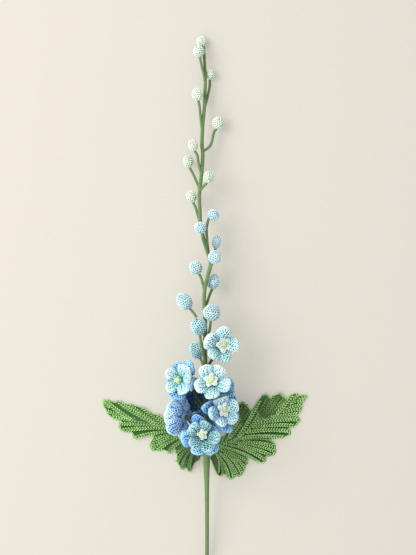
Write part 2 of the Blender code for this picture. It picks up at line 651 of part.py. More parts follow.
def wire_path():
    """The part of the stem's axis that the wire runs in, from below the tip to the cut end."""
    path, _ = stem_axis()
    heights = GRID_V0 - path[:, 1] / GRID
    return path[heights > WIRE_TOP_V]


def make_stem():
    """The wrapped stem with every twig and stalk, bored from its cut end for the wire."""
    path, radii = stem_axis()
    pieces = [tube(path, radii, STEM_SIDES)]
    pieces += [bud_twig(bud) for bud in BUDS]
    pieces += [bloom_stalk(index) for index in range(len(BLOOMS))]
    bore = wire_path()
    way = unit(bore[-1] - bore[-2])
    bore = np.vstack([bore[:-1], bore[-1], bore[-1] + 2.0 * way])
    cutter = tube(bore, np.full(len(bore), BORE_RADIUS), WIRE_SIDES)
    return unite("stem", pieces, "stem", cutter)


def make_wire():
    """The steel wire in the stem."""
    path = wire_path()
    path[0] += GAP * unit(path[1] - path[0])
    return link_mesh("stem_wire", *tube(path, np.full(len(path), WIRE_RADIUS), WIRE_SIDES), "wire")


def leaf_grid(u, v):
    """A leaf's grid position on the ground: it lies lower than the stem and spreads a little wider."""
    u = LEAF_CENTRE[0] + (u - LEAF_CENTRE[0]) * LEAF_SPREAD
    v = LEAF_CENTRE[1] + (v - LEAF_CENTRE[1]) * LEAF_SPREAD
    return on_grid(u, v)[:2]


def leaf_stations(half):
    """The outline of half a leaf as (point, foot, fullness): fingers with round shoulders and thin notches."""
    start, foot = half[0]
    stations = [(leaf_grid(*start), foot, 0.2)]
    before, before_foot = stations[0][0], foot
    for tip, tip_foot, notch, notch_foot in half[1:]:
        tip = leaf_grid(*tip)
        notch = leaf_grid(*notch)
        for end, end_foot, order in ((before, before_foot, 0), (notch, notch_foot, 1)):
            away = tip - end
            bulge = np.array([-away[1], away[0]]) * 0.19
            middle = 0.5 * (before + notch)
            if np.dot(bulge, end - middle) < 0:
                bulge = -bulge
            shoulder = (tip - 0.17 * away + bulge, 0.6 * tip_foot + 0.4 * end_foot, 0.55)
            if order == 0:
                stations.append(shoulder)
                stations.append((tip, tip_foot, 1.0))
            else:
                stations.append(shoulder)
        stations.append((notch, notch_foot, 0.0))
        before, before_foot = notch, notch_foot
    return stations


def leaf_ray(start, point, root_lift, foot, full, held):
    """The points of one ray of a leaf, front and back, from just off the midrib to the outline.

    A held ray stays at the midrib's height, as at the stalk, and the others come down to the ground.
    """
    front, back = [], []
    for row in LEAF_ROWS[1:]:
        where = start + (point - start) * row
        arch = 1.6 * (1 - foot) * row * (1 - row)
        fallen = 1.0 if held else (1 - row) ** 1.3
        lift = LEAF_FLAT + (root_lift + arch) * fallen
        edge = 0.55 if row == 1.0 else 1.0
        low = max(0.0, lift - edge * (LEAF_WEB + 0.8 * LEAF_RIB * full))
        high = max(low + 2 * LEAF_WEB, lift + edge * (LEAF_WEB + 1.2 * LEAF_RIB * full))
        front.append((*where, high))
        back.append((*where, low))
    return front, back


def make_leaf(name, midrib, upper, lower, fall):
    """A ribbed leaf as one closed sheet: ribs run from the midrib to the finger tips, with thin webs between.

    fall says how soon the leaf comes down from the stem to the ground on which its fingers lie. Rays of both
    halves start on the same few midrib points, so that the halves share them.
    """
    rib = smooth_path([np.append(leaf_grid(u, v), 0.0) for u, v in midrib], 4)[:, :2]
    steps = np.linalg.norm(np.diff(rib, axis=0), axis=1)
    travelled = np.concatenate([[0.0], np.cumsum(steps)]) / steps.sum()
    vertices = []
    spine = []
    for i in range(LEAF_JOINTS + 1):
        foot = i / LEAF_JOINTS
        where = np.array([np.interp(foot, travelled, rib[:, k]) for k in range(2)])
        lift = LEAF_FLAT + LEAF_ROOT_LIFT * math.exp(-foot / fall)
        low = max(0.0, lift - LEAF_WEB - 0.5 * LEAF_RIB)
        spine.append((where, lift, foot))
        vertices += [(*where, lift + LEAF_WEB + LEAF_RIB), (*where, low)]
    halves = []
    for half in (upper, lower):
        joint = 0
        placed = []
        for point, foot, full in leaf_stations(half):
            joint = min(joint + 1, max(joint, round(foot * LEAF_JOINTS))) if placed else 0
            placed.append((point, min(joint, LEAF_JOINTS - 1), full, not placed))
        halves.append(placed)
    tip = [(rib[-1] + unit(rib[-1] - rib[-3]) * 1.5, LEAF_JOINTS, 0.8, False)]
    loop = halves[0] + tip + halves[1][::-1]
    rays = []
    for point, joint, full, held in loop:
        start, lift, foot = spine[joint]
        front, back = leaf_ray(start, point, lift - LEAF_FLAT, foot, full, held)
        first = len(vertices)
        vertices += front + back
        count = len(front)
        rays.append((
            [2 * joint] + list(range(first, first + count)),
            [2 * joint + 1] + list(range(first + count, first + 2 * count)),
        ))
    faces = []
    for i, (front, back) in enumerate(rays):
        next_front, next_back = rays[(i + 1) % len(rays)]
        for k in range(len(front) - 1):
            for a, b, c, d in (
                (front[k], front[k + 1], next_front[k + 1], next_front[k]),
                (back[k], next_back[k], next_back[k + 1], back[k + 1]),
            ):
                for triangle in ((a, b, c), (a, c, d)):
                    if len(set(triangle)) == 3:
                        faces.append(triangle)
        faces.append((front[-1], back[-1], next_back[-1]))
        faces.append((front[-1], next_back[-1], next_front[-1]))
    points = np.array(vertices)
    volume = sum(np.dot(points[a], np.cross(points[b], points[c])) for a, b, c in faces)
    if volume < 0:
        faces = [face[::-1] for face in faces]
    return link_mesh(name, vertices, faces, "leaf")


def main():
    """Build every node."""
    clear_scene()
    make_stem()
    make_wire()
    for i, bud in enumerate(BUDS):
        finish = "bud_mint" if i < 9 else "bud_sky" if i < 13 else "bud_blue"
        make_bud(f"bud_{i + 1:02d}", bud, finish)
    for index in range(len(BLOOMS)):
        make_bloom(index)
    make_leaf("leaf_right", RIGHT_MIDRIB, RIGHT_UPPER, RIGHT_LOWER, 0.28)
    make_leaf("leaf_left", LEFT_MIDRIB, LEFT_UPPER, LEFT_LOWER, 0.13)


main()
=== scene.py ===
"""Looks of a crocheted delphinium flower spike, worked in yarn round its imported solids.

Shapes are worked out in millimetres and turned to metres when a piece is made. The spike lies along +Y with
its blooms and leaves seen from +Z.
"""

from __future__ import annotations

import logging
import math
from collections.abc import Callable
from dataclasses import dataclass
from enum import IntEnum

import bpy
import numpy as np
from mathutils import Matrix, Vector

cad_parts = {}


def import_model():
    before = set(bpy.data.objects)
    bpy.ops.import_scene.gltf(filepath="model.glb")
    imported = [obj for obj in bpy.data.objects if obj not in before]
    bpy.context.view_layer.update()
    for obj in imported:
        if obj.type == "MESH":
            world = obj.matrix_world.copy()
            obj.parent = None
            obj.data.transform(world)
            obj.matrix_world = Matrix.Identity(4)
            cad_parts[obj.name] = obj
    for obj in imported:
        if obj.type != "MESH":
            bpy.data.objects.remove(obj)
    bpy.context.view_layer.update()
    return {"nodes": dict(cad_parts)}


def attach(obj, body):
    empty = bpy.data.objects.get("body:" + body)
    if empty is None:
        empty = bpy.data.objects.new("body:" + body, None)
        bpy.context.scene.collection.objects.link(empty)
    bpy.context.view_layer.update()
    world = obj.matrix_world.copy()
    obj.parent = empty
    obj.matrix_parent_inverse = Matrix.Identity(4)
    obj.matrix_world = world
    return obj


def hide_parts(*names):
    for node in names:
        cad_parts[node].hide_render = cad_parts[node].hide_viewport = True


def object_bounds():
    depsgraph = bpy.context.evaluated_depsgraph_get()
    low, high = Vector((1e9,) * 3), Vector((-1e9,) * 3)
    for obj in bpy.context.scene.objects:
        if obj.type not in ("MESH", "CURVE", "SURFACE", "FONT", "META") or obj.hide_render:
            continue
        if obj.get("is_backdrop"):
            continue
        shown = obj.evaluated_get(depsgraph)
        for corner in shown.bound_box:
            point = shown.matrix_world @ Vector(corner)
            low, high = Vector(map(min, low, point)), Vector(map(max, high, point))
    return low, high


Array = np.ndarray
Point = tuple[float, float]
Vec = tuple[float, float, float]
Colour = tuple[float, float, float, float]
Rule = Callable[[Array], Array]

MM = 0.001
# One step of the layout grid is GRID millimetres, and the frame's origin lies at GRID_U0 and GRID_V0.
GRID = 1.05
GRID_U0 = 204.5
GRID_V0 = 318.7
X_AXIS, Y_AXIS, Z_AXIS = np.eye(3)
# Neighbours that are pressed against each other keep this far apart.
GAP = 0.3
# Blooms whose middles lie nearer than this are pressed against each other.
NEIGHBOURS = 58.0
# The plane between two blooms leans more than the line between them, so that the higher petals overlap.
OVERLAP = np.array([1.0, 1.0, 1.8])
# How deep inside a bloom, and inside what lies on the floor, the pressing starts.
PRESS_DEPTH = 5.0
FLOOR_DEPTH = 1.2
# The left and the right leg of a stitch.
HANDS = (-1.0, 1.0)
LOG = logging.getLogger("spike")


def unit(vector: Array | Vec) -> Array:
    """Return the vector, or each row of an array of them, at length 1."""
    rows = np.asarray(vector, dtype=float)
    return rows / np.maximum(np.linalg.norm(rows, axis=-1, keepdims=True), 1e-9)


def on_grid(u: float, v: float, z: float = 0.0) -> Array:
    """Return the place of a layout grid position.

    Args:
        u: Steps to the right.
        v: Steps down the stem.
        z: Height in millimetres.

    Returns:
        The point in millimetres.
    """
    return np.array([(u - GRID_U0) * GRID, (GRID_V0 - v) * GRID, z])


def distance_along(points: Array) -> Array:
    """Return how far along a line each of its points lies."""
    return np.concatenate([[0.0], np.cumsum(np.linalg.norm(np.diff(points, axis=0), axis=1))])


def points_at(where: Array, run: Array, points: Array) -> Array:
    """Return the points of a line at some distances along it, where run is how far its own points lie."""
    return np.stack([np.interp(where, run, column) for column in points.T], axis=-1)


def shares(number: int) -> Array:
    """Return the middles of so many equal parts of the stretch from 0 to 1."""
    return (np.arange(number) + 0.5) / number


def ray(degrees: float) -> Array:
    """Return the direction at an angle round a bloom's front."""
    turn = math.radians(degrees)
    return np.array([math.cos(turn), math.sin(turn), 0.0])


def smooth_path(points: Array | list, step: float) -> Array:
    """Run a smooth curve through points and cut it into equal steps.

    Between two points the curve is the Catmull-Rom cubic: half of 2b + (c - a)t + (2a - 5b + 4c - d)t^2 +
    (3b - a - 3c + d)t^3, where a, b, c and d are four points in a row.

    Args:
        points: The points that the curve passes.
        step: About how far apart the returned points are.

    Returns:
        Points along the curve, one row each.
    """
    knots = np.asarray(points, dtype=float)
    ends = np.vstack([2 * knots[0] - knots[1], knots, 2 * knots[-1] - knots[-2]])
    parts = 16
    t = (np.arange(parts) / parts)[None, :, None]
    a, b, c, d = (ends[i:len(ends) - 3 + i, None, :] for i in range(4))
    curve = 0.5 * (2 * b + (c - a) * t + (2 * a - 5 * b + 4 * c - d) * t**2 + (3 * b - a - 3 * c + d) * t**3)
    curve = np.vstack([curve.reshape(-1, knots.shape[1]), knots[-1:]])
    run = distance_along(curve)
    count = max(2, int(round(run[-1] / step)) + 1)
    return points_at(np.linspace(0.0, run[-1], count), run, curve)


@dataclass(frozen=True)
class RingFaces:
    """The faces of a closed body of rings: a pole, the rings' points one ring after another, and a pole.

    Attributes:
        rings: How many rings there are.
        sides: How many points each ring has.
    """

    rings: int
    sides: int

    @staticmethod
    def uvs(*corners: tuple[Array | float, Array]) -> Array:
        """Return the UVs of faces from the u and v of each of their corners."""
        return np.stack([np.column_stack(np.broadcast_arrays(*corner)) for corner in corners], axis=1)

    def quads(self) -> tuple[Array, Array]:
        """Return the four-sided faces and their UVs, u along the body and v round it."""
        k, i = np.meshgrid(np.arange(self.rings - 1), np.arange(self.sides), indexing="ij")
        k, i = k.ravel(), i.ravel()
        j = (i + 1) % self.sides
        low = 1 + k * self.sides
        high = low + self.sides
        faces = np.column_stack([low + i, low + j, high + j, high + i])
        u0 = (k + 1) / (self.rings + 1)
        u1 = (k + 2) / (self.rings + 1)
        v0 = i / self.sides
        v1 = (i + 1) / self.sides
        return faces, self.uvs((u0, v0), (u0, v1), (u1, v1), (u1, v0))

    def caps(self) -> tuple[Array, Array]:
        """Return the three-sided faces round both poles and their UVs."""
        i = np.arange(self.sides)
        j = (i + 1) % self.sides
        last = 1 + (self.rings - 1) * self.sides
        first = np.column_stack([np.zeros_like(i), 1 + j, 1 + i])
        second = np.column_stack([last + i, last + j, np.full_like(i, last + self.sides)])
        v0 = i / self.sides
        v1 = (i + 1) / self.sides
        near = 1 / (self.rings + 1)
        far = 1 - near
        first_uvs = self.uvs((0.0, v0), (near, v1), (near, v0))
        second_uvs = self.uvs((far, v0), (far, v1), (1.0, v0))
        return np.vstack([first, second]), np.concatenate([first_uvs, second_uvs])


class Fabric:
    """The growing mesh of one piece: closed bodies with a crest, a tone, a shade and UVs.

    The crest is 1 on top of the yarn and 0 deep between the stitches, where the material paints shade, the
    tone is a draw for each stitch, and the shade is how much painted shade a point takes: 1 in the darkest
    places, such as a petal's root, and 0 in the lightest.
    """

    def __init__(self) -> None:
        """Start with nothing."""
        self.points: list[Array] = []
        self.crests: list[Array] = []
        self.tones: list[Array] = []
        self.shades: list[Array] = []
        self.quads: list[Array] = []
        self.tris: list[Array] = []
        self.quad_uvs: list[Array] = []
        self.tri_uvs: list[Array] = []
        self.count = 0

    def add_bodies(
        self, points: Array, faces: RingFaces, crest: Array, tone: Array | float, shade: Array | float = 0.0
    ) -> None:
        """Add one or several bodies that share the same faces.

        Args:
            points: Bodies by points by three, in millimetres.
            faces: How each body's points are joined.
            crest: The crest of each point, for one body or for all.
            tone: One draw for each body, or one for all of them.
            shade: The shade of each body, of each of its points, or of all.
        """
        bodies, size = points.shape[:2]
        shift = (self.count + size * np.arange(bodies))[:, None, None]
        # A body is turned outwards by the sign of the volume that its first copy encloses.
        quads, quad_uvs = faces.quads()
        tris, tri_uvs = faces.caps()
        one = points[0] - points[0].mean(axis=0)
        split = np.vstack([quads[:, [0, 1, 2]], quads[:, [0, 2, 3]], tris])
        if np.linalg.det(one[split]).sum() < 0:
            quads, quad_uvs = quads[:, ::-1], quad_uvs[:, ::-1]
            tris, tri_uvs = tris[:, ::-1], tri_uvs[:, ::-1]
        self.quads.append((quads[None] + shift).reshape(-1, 4))
        self.tris.append((tris[None] + shift).reshape(-1, 3))
        self.quad_uvs.append(np.tile(quad_uvs, (bodies, 1, 1)))
        self.tri_uvs.append(np.tile(tri_uvs, (bodies, 1, 1)))
        self.points.append(points.reshape(-1, 3))
        self.crests.append(np.broadcast_to(crest, (bodies, size)).ravel())
        self.tones.append(np.broadcast_to(np.reshape(tone, (-1, 1)), (bodies, size)).ravel())
        shade = np.asarray(shade) if np.ndim(shade) == 2 else np.reshape(shade, (-1, 1))
        self.shades.append(np.broadcast_to(shade, (bodies, size)).ravel())
        self.count += bodies * size

    def bend(self, rule: Rule) -> None:
        """Move every point added so far by a rule that takes and returns points."""
        self.points = [rule(np.vstack(self.points))]

    def shift(self, by: Array) -> None:
        """Move every point added so far by one step."""
        self.points = [np.vstack(self.points) + by]

    def make(self, name: str, material: bpy.types.Material) -> bpy.types.Object:
        """Turn what was gathered into an object.

        Args:
            name: The object's name.
            material: Its material.

        Returns:
            The object, at the origin, with its place in its mesh.
        """
        points = np.vstack(self.points) * MM
        quads = np.vstack(self.quads)
        tris = np.vstack(self.tris)
        loops = np.concatenate([quads.ravel(), tris.ravel()]).astype(np.int32)
        totals = np.concatenate([np.full(len(quads), 4), np.full(len(tris), 3)]).astype(np.int32)
        starts = np.concatenate([[0], np.cumsum(totals)[:-1]]).astype(np.int32)
        mesh = bpy.data.meshes.new(name)
        mesh.vertices.add(len(points))
        mesh.vertices.foreach_set("co", points.astype(np.float32).ravel())
        mesh.loops.add(len(loops))
        mesh.loops.foreach_set("vertex_index", loops)
        mesh.polygons.add(len(totals))
        mesh.polygons.foreach_set("loop_start", starts)
        mesh.polygons.foreach_set("loop_total", totals)
        uvs = np.concatenate([np.vstack(part).reshape(-1, 2) for part in (self.quad_uvs, self.tri_uvs)])
        layer = mesh.uv_layers.new(name="yarn")
        layer.data.foreach_set("uv", uvs.astype(np.float32).ravel())
        for label, values in (("crest", self.crests), ("tone", self.tones), ("shade", self.shades)):
            attribute = mesh.attributes.new(label, "FLOAT", "POINT")
            attribute.data.foreach_set("value", np.concatenate(values).astype(np.float32))
        mesh.update(calc_edges=True)
        mesh.validate()
        mesh.shade_smooth()
        mesh.materials.append(material)
        piece = bpy.data.objects.new(name, mesh)
        bpy.context.scene.collection.objects.link(piece)
        return piece


@dataclass(frozen=True)
class Stitch:
    """One leg of a crochet stitch: a short bowed strand of yarn that thins to both ends.

    Attributes:
        sides: Points round the strand.
        stations: Where its rings lie, from -1 to 1.
        bow: How far its middle rises, in strand radii.
        taper: How much of its section is gone at its ends, from 0 to 1.
        sunk: How far its ends lie below, in strand radii.
    """

    sides: int = 5
    stations: tuple[float, ...] = (-0.7, 0.0, 0.7)
    bow: float = 0.5
    taper: float = 0.9
    sunk: float = 0.25

    def template(self) -> tuple[Array, Array]:
        """Work out the leg in its own units.

        The ring at x has the radius sqrt(1 - taper x^2) and its middle at the height bow (1 - x^2). The crest
        at the height z is 0.5 + 0.42 z.

        Returns:
            Its points (along in half lengths, across and up in radii) and their crests.
        """
        x = np.array(self.stations)[:, None]
        angle = 2 * math.pi * np.arange(self.sides)[None, :] / self.sides + math.pi / 2
        swell = np.sqrt(1 - x**2 * self.taper)
        y = swell * np.cos(angle)
        z = swell * np.sin(angle) + self.bow * (1 - x**2)
        rings = np.stack([np.broadcast_to(x, y.shape), y, z], axis=-1).reshape(-1, 3)
        points = np.vstack([[(-1.0, 0.0, -self.sunk)], rings, [(1.0, 0.0, -self.sunk)]])
        crest = np.clip(0.5 + 0.42 * points[:, 2], 0.0, 1.0)
        return points, crest

    def sew(
        self, fabric: Fabric, at: Array, along: Array, up: Array, half: Array | float, thick: Array | float,
        tone: Array, shade: Array | float = 0.0,
    ) -> None:
        """Add one leg for each row of the arrays.

        Args:
            fabric: The mesh that takes the legs.
            at: Where each leg's middle lies.
            along: The direction each leg runs in.
            up: The direction away from the fabric.
            half: Each leg's half length.
            thick: Each leg's radius.
            tone: Each leg's draw.
            shade: Each leg's shade.
        """
        shape, crest = self.template()
        along = unit(along)
        across = unit(np.cross(up, along))
        up = np.cross(along, across)
        half = np.broadcast_to(half, len(at))[:, None, None]
        thick = np.broadcast_to(thick, len(at))[:, None, None]
        points = at[:, None, :] + shape[None, :, :1] * half * along[:, None, :]
        points = points + shape[None, :, 1:2] * thick * across[:, None, :]
        points = points + shape[None, :, 2:] * thick * up[:, None, :]
        fabric.add_bodies(points, RingFaces(len(self.stations), self.sides), crest, tone, shade)


STITCH = Stitch()


@dataclass(frozen=True)
class Puff:
    """A crocheted ball, oval or petal: rings of V stitches over a core, worked round its long axis.

    Attributes:
        centre: Its middle.
        axis: The direction from its root to its tip.
        up: A direction across the axis that the second half size is measured along.
        half: Half sizes across, up and along the axis.
        stitch: The stitches' width and height.
        tip: How much it narrows towards its tip, from 0 to 1.
        root: How much it narrows towards its root.
        boxy: The power of its outline: 2 is an ellipse and more is squarer.
        lumps: How uneven it is, as a share of its size.
        shading: The painted shade at its root and at its tip.
        leg: A leg's half length, as a share of the stitch's height.
        thick: A leg's radius, as a share of the stitch's width.
        apart: How far a leg lies from the middle of its stitch, as a share of the width.
        sunk: How far a leg's middle lies inside the surface.
        uneven: How much the legs' sizes differ.
        lean: How far a leg leans to its side, and how much that differs.
        dip: How far a leg dips into the surface, and how much that differs.
    """

    centre: Array
    axis: Array
    up: Array
    half: Vec
    stitch: Point = (2.8, 2.25)
    tip: float = 0.0
    root: float = 0.0
    boxy: float = 2.0
    lumps: float = 0.03
    shading: Point = (0.8, 0.0)
    leg: float = 0.72
    thick: float = 0.21
    apart: float = 0.25
    sunk: float = 0.12
    uneven: float = 0.08
    lean: Point = (0.58, 0.16)
    dip: Point = (0.16, 0.08)

    def frame(self) -> tuple[Array, Array, Array]:
        """Return the unit directions across, up and along."""
        along = unit(self.axis)
        across = unit(np.cross(self.up, along))
        return across, np.cross(along, across), along

    def at(self, turn: Array, polar: Array) -> tuple[Array, Array]:
        """Find points on the puff and the directions away from it there.

        With s = sin(polar) and c = cos(polar), the point is (s cos(turn), s sin(turn), c) times the half
        sizes, where c and s are drawn towards a box by the power 2 / boxy and s shrinks towards the tip and
        the root. Its girth also swells by lumps (sin(2 turn + 3 polar + p) + sin(3 turn - 2 polar + 2 p)),
        where p comes from its place.

        Args:
            turn: Angles round the axis.
            polar: Angles from the tip.

        Returns:
            The points and the outward directions, one row each.
        """
        across, up, along = self.frame()
        power = 2.0 / self.boxy
        cosine = np.cos(polar)
        s = np.abs(np.sin(polar)) ** power
        c = np.sign(cosine) * np.abs(cosine) ** power
        s = s * (1 - self.tip * np.clip(cosine, 0.0, 1.0) - self.root * np.clip(-cosine, 0.0, 1.0))
        p = float(self.centre[0] + 2 * self.centre[1])
        swell = 1 + self.lumps * (np.sin(2 * turn + 3 * polar + p) + np.sin(3 * turn - 2 * polar + 2 * p))
        a, b, h = self.half
        x, y, z = a * s * swell * np.cos(turn), b * s * swell * np.sin(turn), h * c
        points = self.centre + x[..., None] * across + y[..., None] * up + z[..., None] * along
        nx, ny, nz = np.sin(polar) * np.cos(turn) / a, np.sin(polar) * np.sin(turn) / b, cosine / h
        away = nx[..., None] * across + ny[..., None] * up + nz[..., None] * along
        return points, unit(away)

    def rows(self) -> Array:
        """Return the polar angles of the rings of stitches, evenly spaced along a side of the puff."""
        polar = np.linspace(0.0, math.pi, 61)
        points, _ = self.at(np.zeros_like(polar), polar)
        run = distance_along(points)
        count = max(3, int(round(run[-1] / self.stitch[1])))
        return np.interp(shares(count) * run[-1], run, polar)

    def core(self, fabric: Fabric) -> None:
        """Add the body under the stitches, a little inside their middles."""
        sides, count = 12, 9
        depth = 0.55
        off_pole = 0.18
        polars = np.linspace(off_pole, math.pi - off_pole, count)
        turn, polar = np.meshgrid(2 * math.pi * np.arange(sides) / sides, polars)
        rings, away = self.at(turn, polar)
        rings = (rings - depth * away).reshape(-1, 3)
        poles, pole_away = self.at(np.zeros(2), np.array([0.0, math.pi]))
        poles = poles - depth * pole_away
        points = np.vstack([poles[:1], rings, poles[1:]])
        # The core's crest is 0, so it takes the deep colour: painted shade where it shows between the
        # stitches.
        fabric.add_bodies(points[None], RingFaces(count, sides), np.zeros(1), 0.5, 0.5)

    def knit(self, fabric: Fabric, draws: np.random.Generator) -> None:
        """Add the core and its stitches.

        Args:
            fabric: The mesh that takes them.
            draws: The piece's random numbers.
        """
        self.core(fabric)
        _, _, along = self.frame()
        wide, tall = self.stitch
        turns, polars = [], []
        for row, angle in enumerate(self.rows()):
            ring, _ = self.at(2 * math.pi * np.arange(25) / 24, np.full(25, angle))
            number = max(3, int(round(distance_along(ring)[-1] / wide)))
            # Every other row starts half a stitch farther round, and all drift on, so that no seam shows.
            turns.append(2 * math.pi * (np.arange(number) + 0.5 * (row % 2) + 0.37 * row) / number)
            polars.append(np.full(number, angle))
        turn, polar = np.concatenate(turns), np.concatenate(polars)
        at, away = self.at(turn, polar)
        down = unit(np.cross(np.cross(away, along), away))
        side = np.cross(away, down)
        number = len(at)
        shade = np.interp(np.cos(polar), [-1.0, 1.0], self.shading)
        for hand in HANDS:
            size = draws.normal(1.0, self.uneven, number)
            lean = draws.normal(*self.lean, number)[:, None]
            dip = draws.normal(*self.dip, number)[:, None]
            where = at + hand * self.apart * wide * side - self.sunk * away
            way = down - hand * lean * side - dip * away
            thick = self.thick * wide * size
            STITCH.sew(fabric, where, way, away, self.leg * tall * size, thick, draws.random(number), shade)


def press(points: Array, origin: Array, outward: Array, depth: float) -> Array:
    """Push points back from a plane so that none passes it and none changes places.

    A point at the distance d beyond the plane moves to -g - (w - g) exp(-(d + w) / (w - g)), where w is the
    depth and g half a gap. Points deeper inside than w stay.

    Args:
        points: The points, one row each.
        origin: A point on the plane.
        outward: The direction that is out of bounds.
        depth: How deep inside the pushing starts.

    Returns:
        The moved points.
    """
    outward = unit(outward)
    beyond = (points - origin) @ outward
    room = depth - 0.5 * GAP
    pushed = -0.5 * GAP - room * np.exp(-np.maximum(beyond + depth, 0.0) / room)
    return points + np.where(beyond > -depth, pushed - beyond, 0.0)[:, None] * outward


def off_floor(points: Array) -> Array:
    """Press the points up so that none lies below the floor."""
    return press(points, -0.5 * GAP * Z_AXIS, -Z_AXIS, FLOOR_DEPTH)


@dataclass(frozen=True)
class WoundTube:
    """A wire wound tightly with thread: a tube with one helical ridge for the thread.

    Attributes:
        path: The points that its middle runs through.
        radii: Its radius at each of those points.
        shades: Its painted shade, at each of them or all along.
        pitch: How far the thread moves on with each turn.
        sides: Points round the tube.
        open_end: Whether its last end shows the hole that the wire lies in.
        core: Its radius between two turns of thread, as a share of its whole radius.
        ridge: How far the thread stands out from there.
        hole_radius: The hole's radius.
        hole_depth: How deep the hole goes.
    """

    path: Array
    radii: Array
    shades: Array | float = 0.0
    pitch: float = 1.5
    sides: int = 9
    open_end: bool = False
    core: float = 0.95
    ridge: float = 0.09
    hole_radius: float = 1.0
    hole_depth: float = 4.0

    def wind(self, fabric: Fabric, tone: float) -> None:
        """Add the tube.

        The surface at the distance s along and the angle a round lies at the radius
        r (core + ridge |cos(pi s / pitch - a / 2)|), so that each turn of thread is a round ridge.

        Args:
            fabric: The mesh that takes it.
            tone: Its draw.
        """
        shades = np.broadcast_to(self.shades, len(self.path))
        path = smooth_path(np.column_stack([self.path, self.radii, shades]), self.pitch / 4)
        middle, radius, shade = path[:, :3], path[:, 3], np.repeat(path[:, 4], self.sides)
        along = unit(np.gradient(middle, axis=0))
        chord = unit(middle[-1] - middle[0])
        reference = np.eye(3)[int(np.argmin(np.abs(chord)))]
        side = unit(np.cross(along, reference))
        up = np.cross(side, along)
        run = distance_along(middle)
        angle = 2 * math.pi * np.arange(self.sides) / self.sides
        crown = np.abs(np.cos(math.pi * run[:, None] / self.pitch - angle[None, :] / 2))
        reach = radius[:, None] * (self.core + self.ridge * crown)
        spokes = np.cos(angle)[None, :, None] * side[:, None, :]
        spokes = spokes + np.sin(angle)[None, :, None] * up[:, None, :]
        rings = middle[:, None, :] + reach[..., None] * spokes
        end = middle[-1]
        if self.open_end:
            end = middle[-1] - self.hole_depth * along[-1]
            hole = self.hole_radius * spokes[-1][None]
            rings = np.concatenate([rings, middle[-1] + hole, end + hole])
            crown = np.vstack([crown, np.full((2, self.sides), 0.2)])
            shade = np.concatenate([shade, np.full(2 * self.sides, shade[-1])])
        points = np.vstack([middle[:1], rings.reshape(-1, 3), end[None]])
        # The crest falls between the turns of thread and inside the hole, and the material paints shade
        # there.
        crest = np.concatenate([[0.5], 0.25 + 0.75 * crown.ravel(), [0.0]])
        shade = np.concatenate([shade[:1], shade, shade[-1:]])
        fabric.add_bodies(points[None], RingFaces(len(rings), self.sides), crest, tone, shade[None])


class Graph:
    """The nodes of one material."""

    def __init__(self, name: str) -> None:
        """Start a material with a Principled shader.

        Args:
            name: The material's name.
        """
        self.material = bpy.data.materials.new(name)
        self.material.use_nodes = True
        self.tree = self.material.node_tree
        self.shader = self.tree.nodes["Principled BSDF"]

    def node(
        self, kind: str, settings: dict | None = None, inputs: dict | None = None, output: int | str = 0
    ) -> Tap:
        """Add any node.

        Args:
            kind: The node's type.
            settings: Its properties, and a ramp's stops as (position, colour) pairs.
            inputs: Values or taps by socket name or number.
            output: Which of its outputs is wanted.

        Returns:
            The tap on that output.
        """
        made = self.tree.nodes.new(kind)
        for key, value in (settings or {}).items():
            if key == "stops":
                ramp = made.color_ramp
                while len(ramp.elements) < len(value):
                    ramp.elements.new(0.5)
                for element, (place, colour) in zip(ramp.elements, value):
                    element.position = place
                    element.color = colour
            else:
                setattr(made, key, value)
        for key, value in (inputs or {}).items():
            self.feed(made.inputs[key], value)
        return Tap(self, made.outputs[output])

    def feed(self, socket: bpy.types.NodeSocket, value: Tap | float | tuple) -> None:
        """Link a tap to a socket, or set its value.

        Args:
            socket: The socket that takes it.
            value: A tap, a number, a vector or a colour.
        """
        if isinstance(value, Tap):
            self.tree.links.new(value.socket, socket)
        else:
            socket.default_value = value

    def mix(self, factor: Tap | float, low: Tap | Colour, high: Tap | Colour) -> Tap:
        """Return the colour low where the factor is 0 and high where it is 1."""
        inputs = {0: factor, 6: low, 7: high}
        return self.node("ShaderNodeMix", {"data_type": "RGBA", "clamp_factor": True}, inputs, 2)

    def attribute(self, name: str) -> Tap:
        """Return a number that the mesh carries."""
        return self.node("ShaderNodeAttribute", {"attribute_name": name}, output="Fac")

    def noise(self, scale: float, detail: float = 3.0) -> Tap:
        """Return noise on the piece's own coordinates.

        Args:
            scale: The noise's scale.
            detail: Its detail.

        Returns:
            The tap on it.
        """
        place = self.node("ShaderNodeTexCoord", output="Object")
        inputs = {"Vector": place, "Scale": scale, "Detail": detail}
        return self.node("ShaderNodeTexNoise", inputs=inputs, output="Fac")

    def bump(self, height: Tap, distance: float) -> None:
        """Raise the surface by a height before the light falls on it."""
        inputs = {"Height": height, "Distance": distance, "Strength": 1.0}
        self.feed(self.shader.inputs["Normal"], self.node("ShaderNodeBump", inputs=inputs))

    def set(self, **values: Tap | float | tuple) -> None:
        """Set the shader's sockets, each named in lower case with _ for a space.

        Args:
            values: Taps, numbers or colours by those names.
        """
        for key, value in values.items():
            label = " ".join(word if word == "IOR" else word.capitalize() for word in key.split("_"))
            self.feed(self.shader.inputs[label], value)


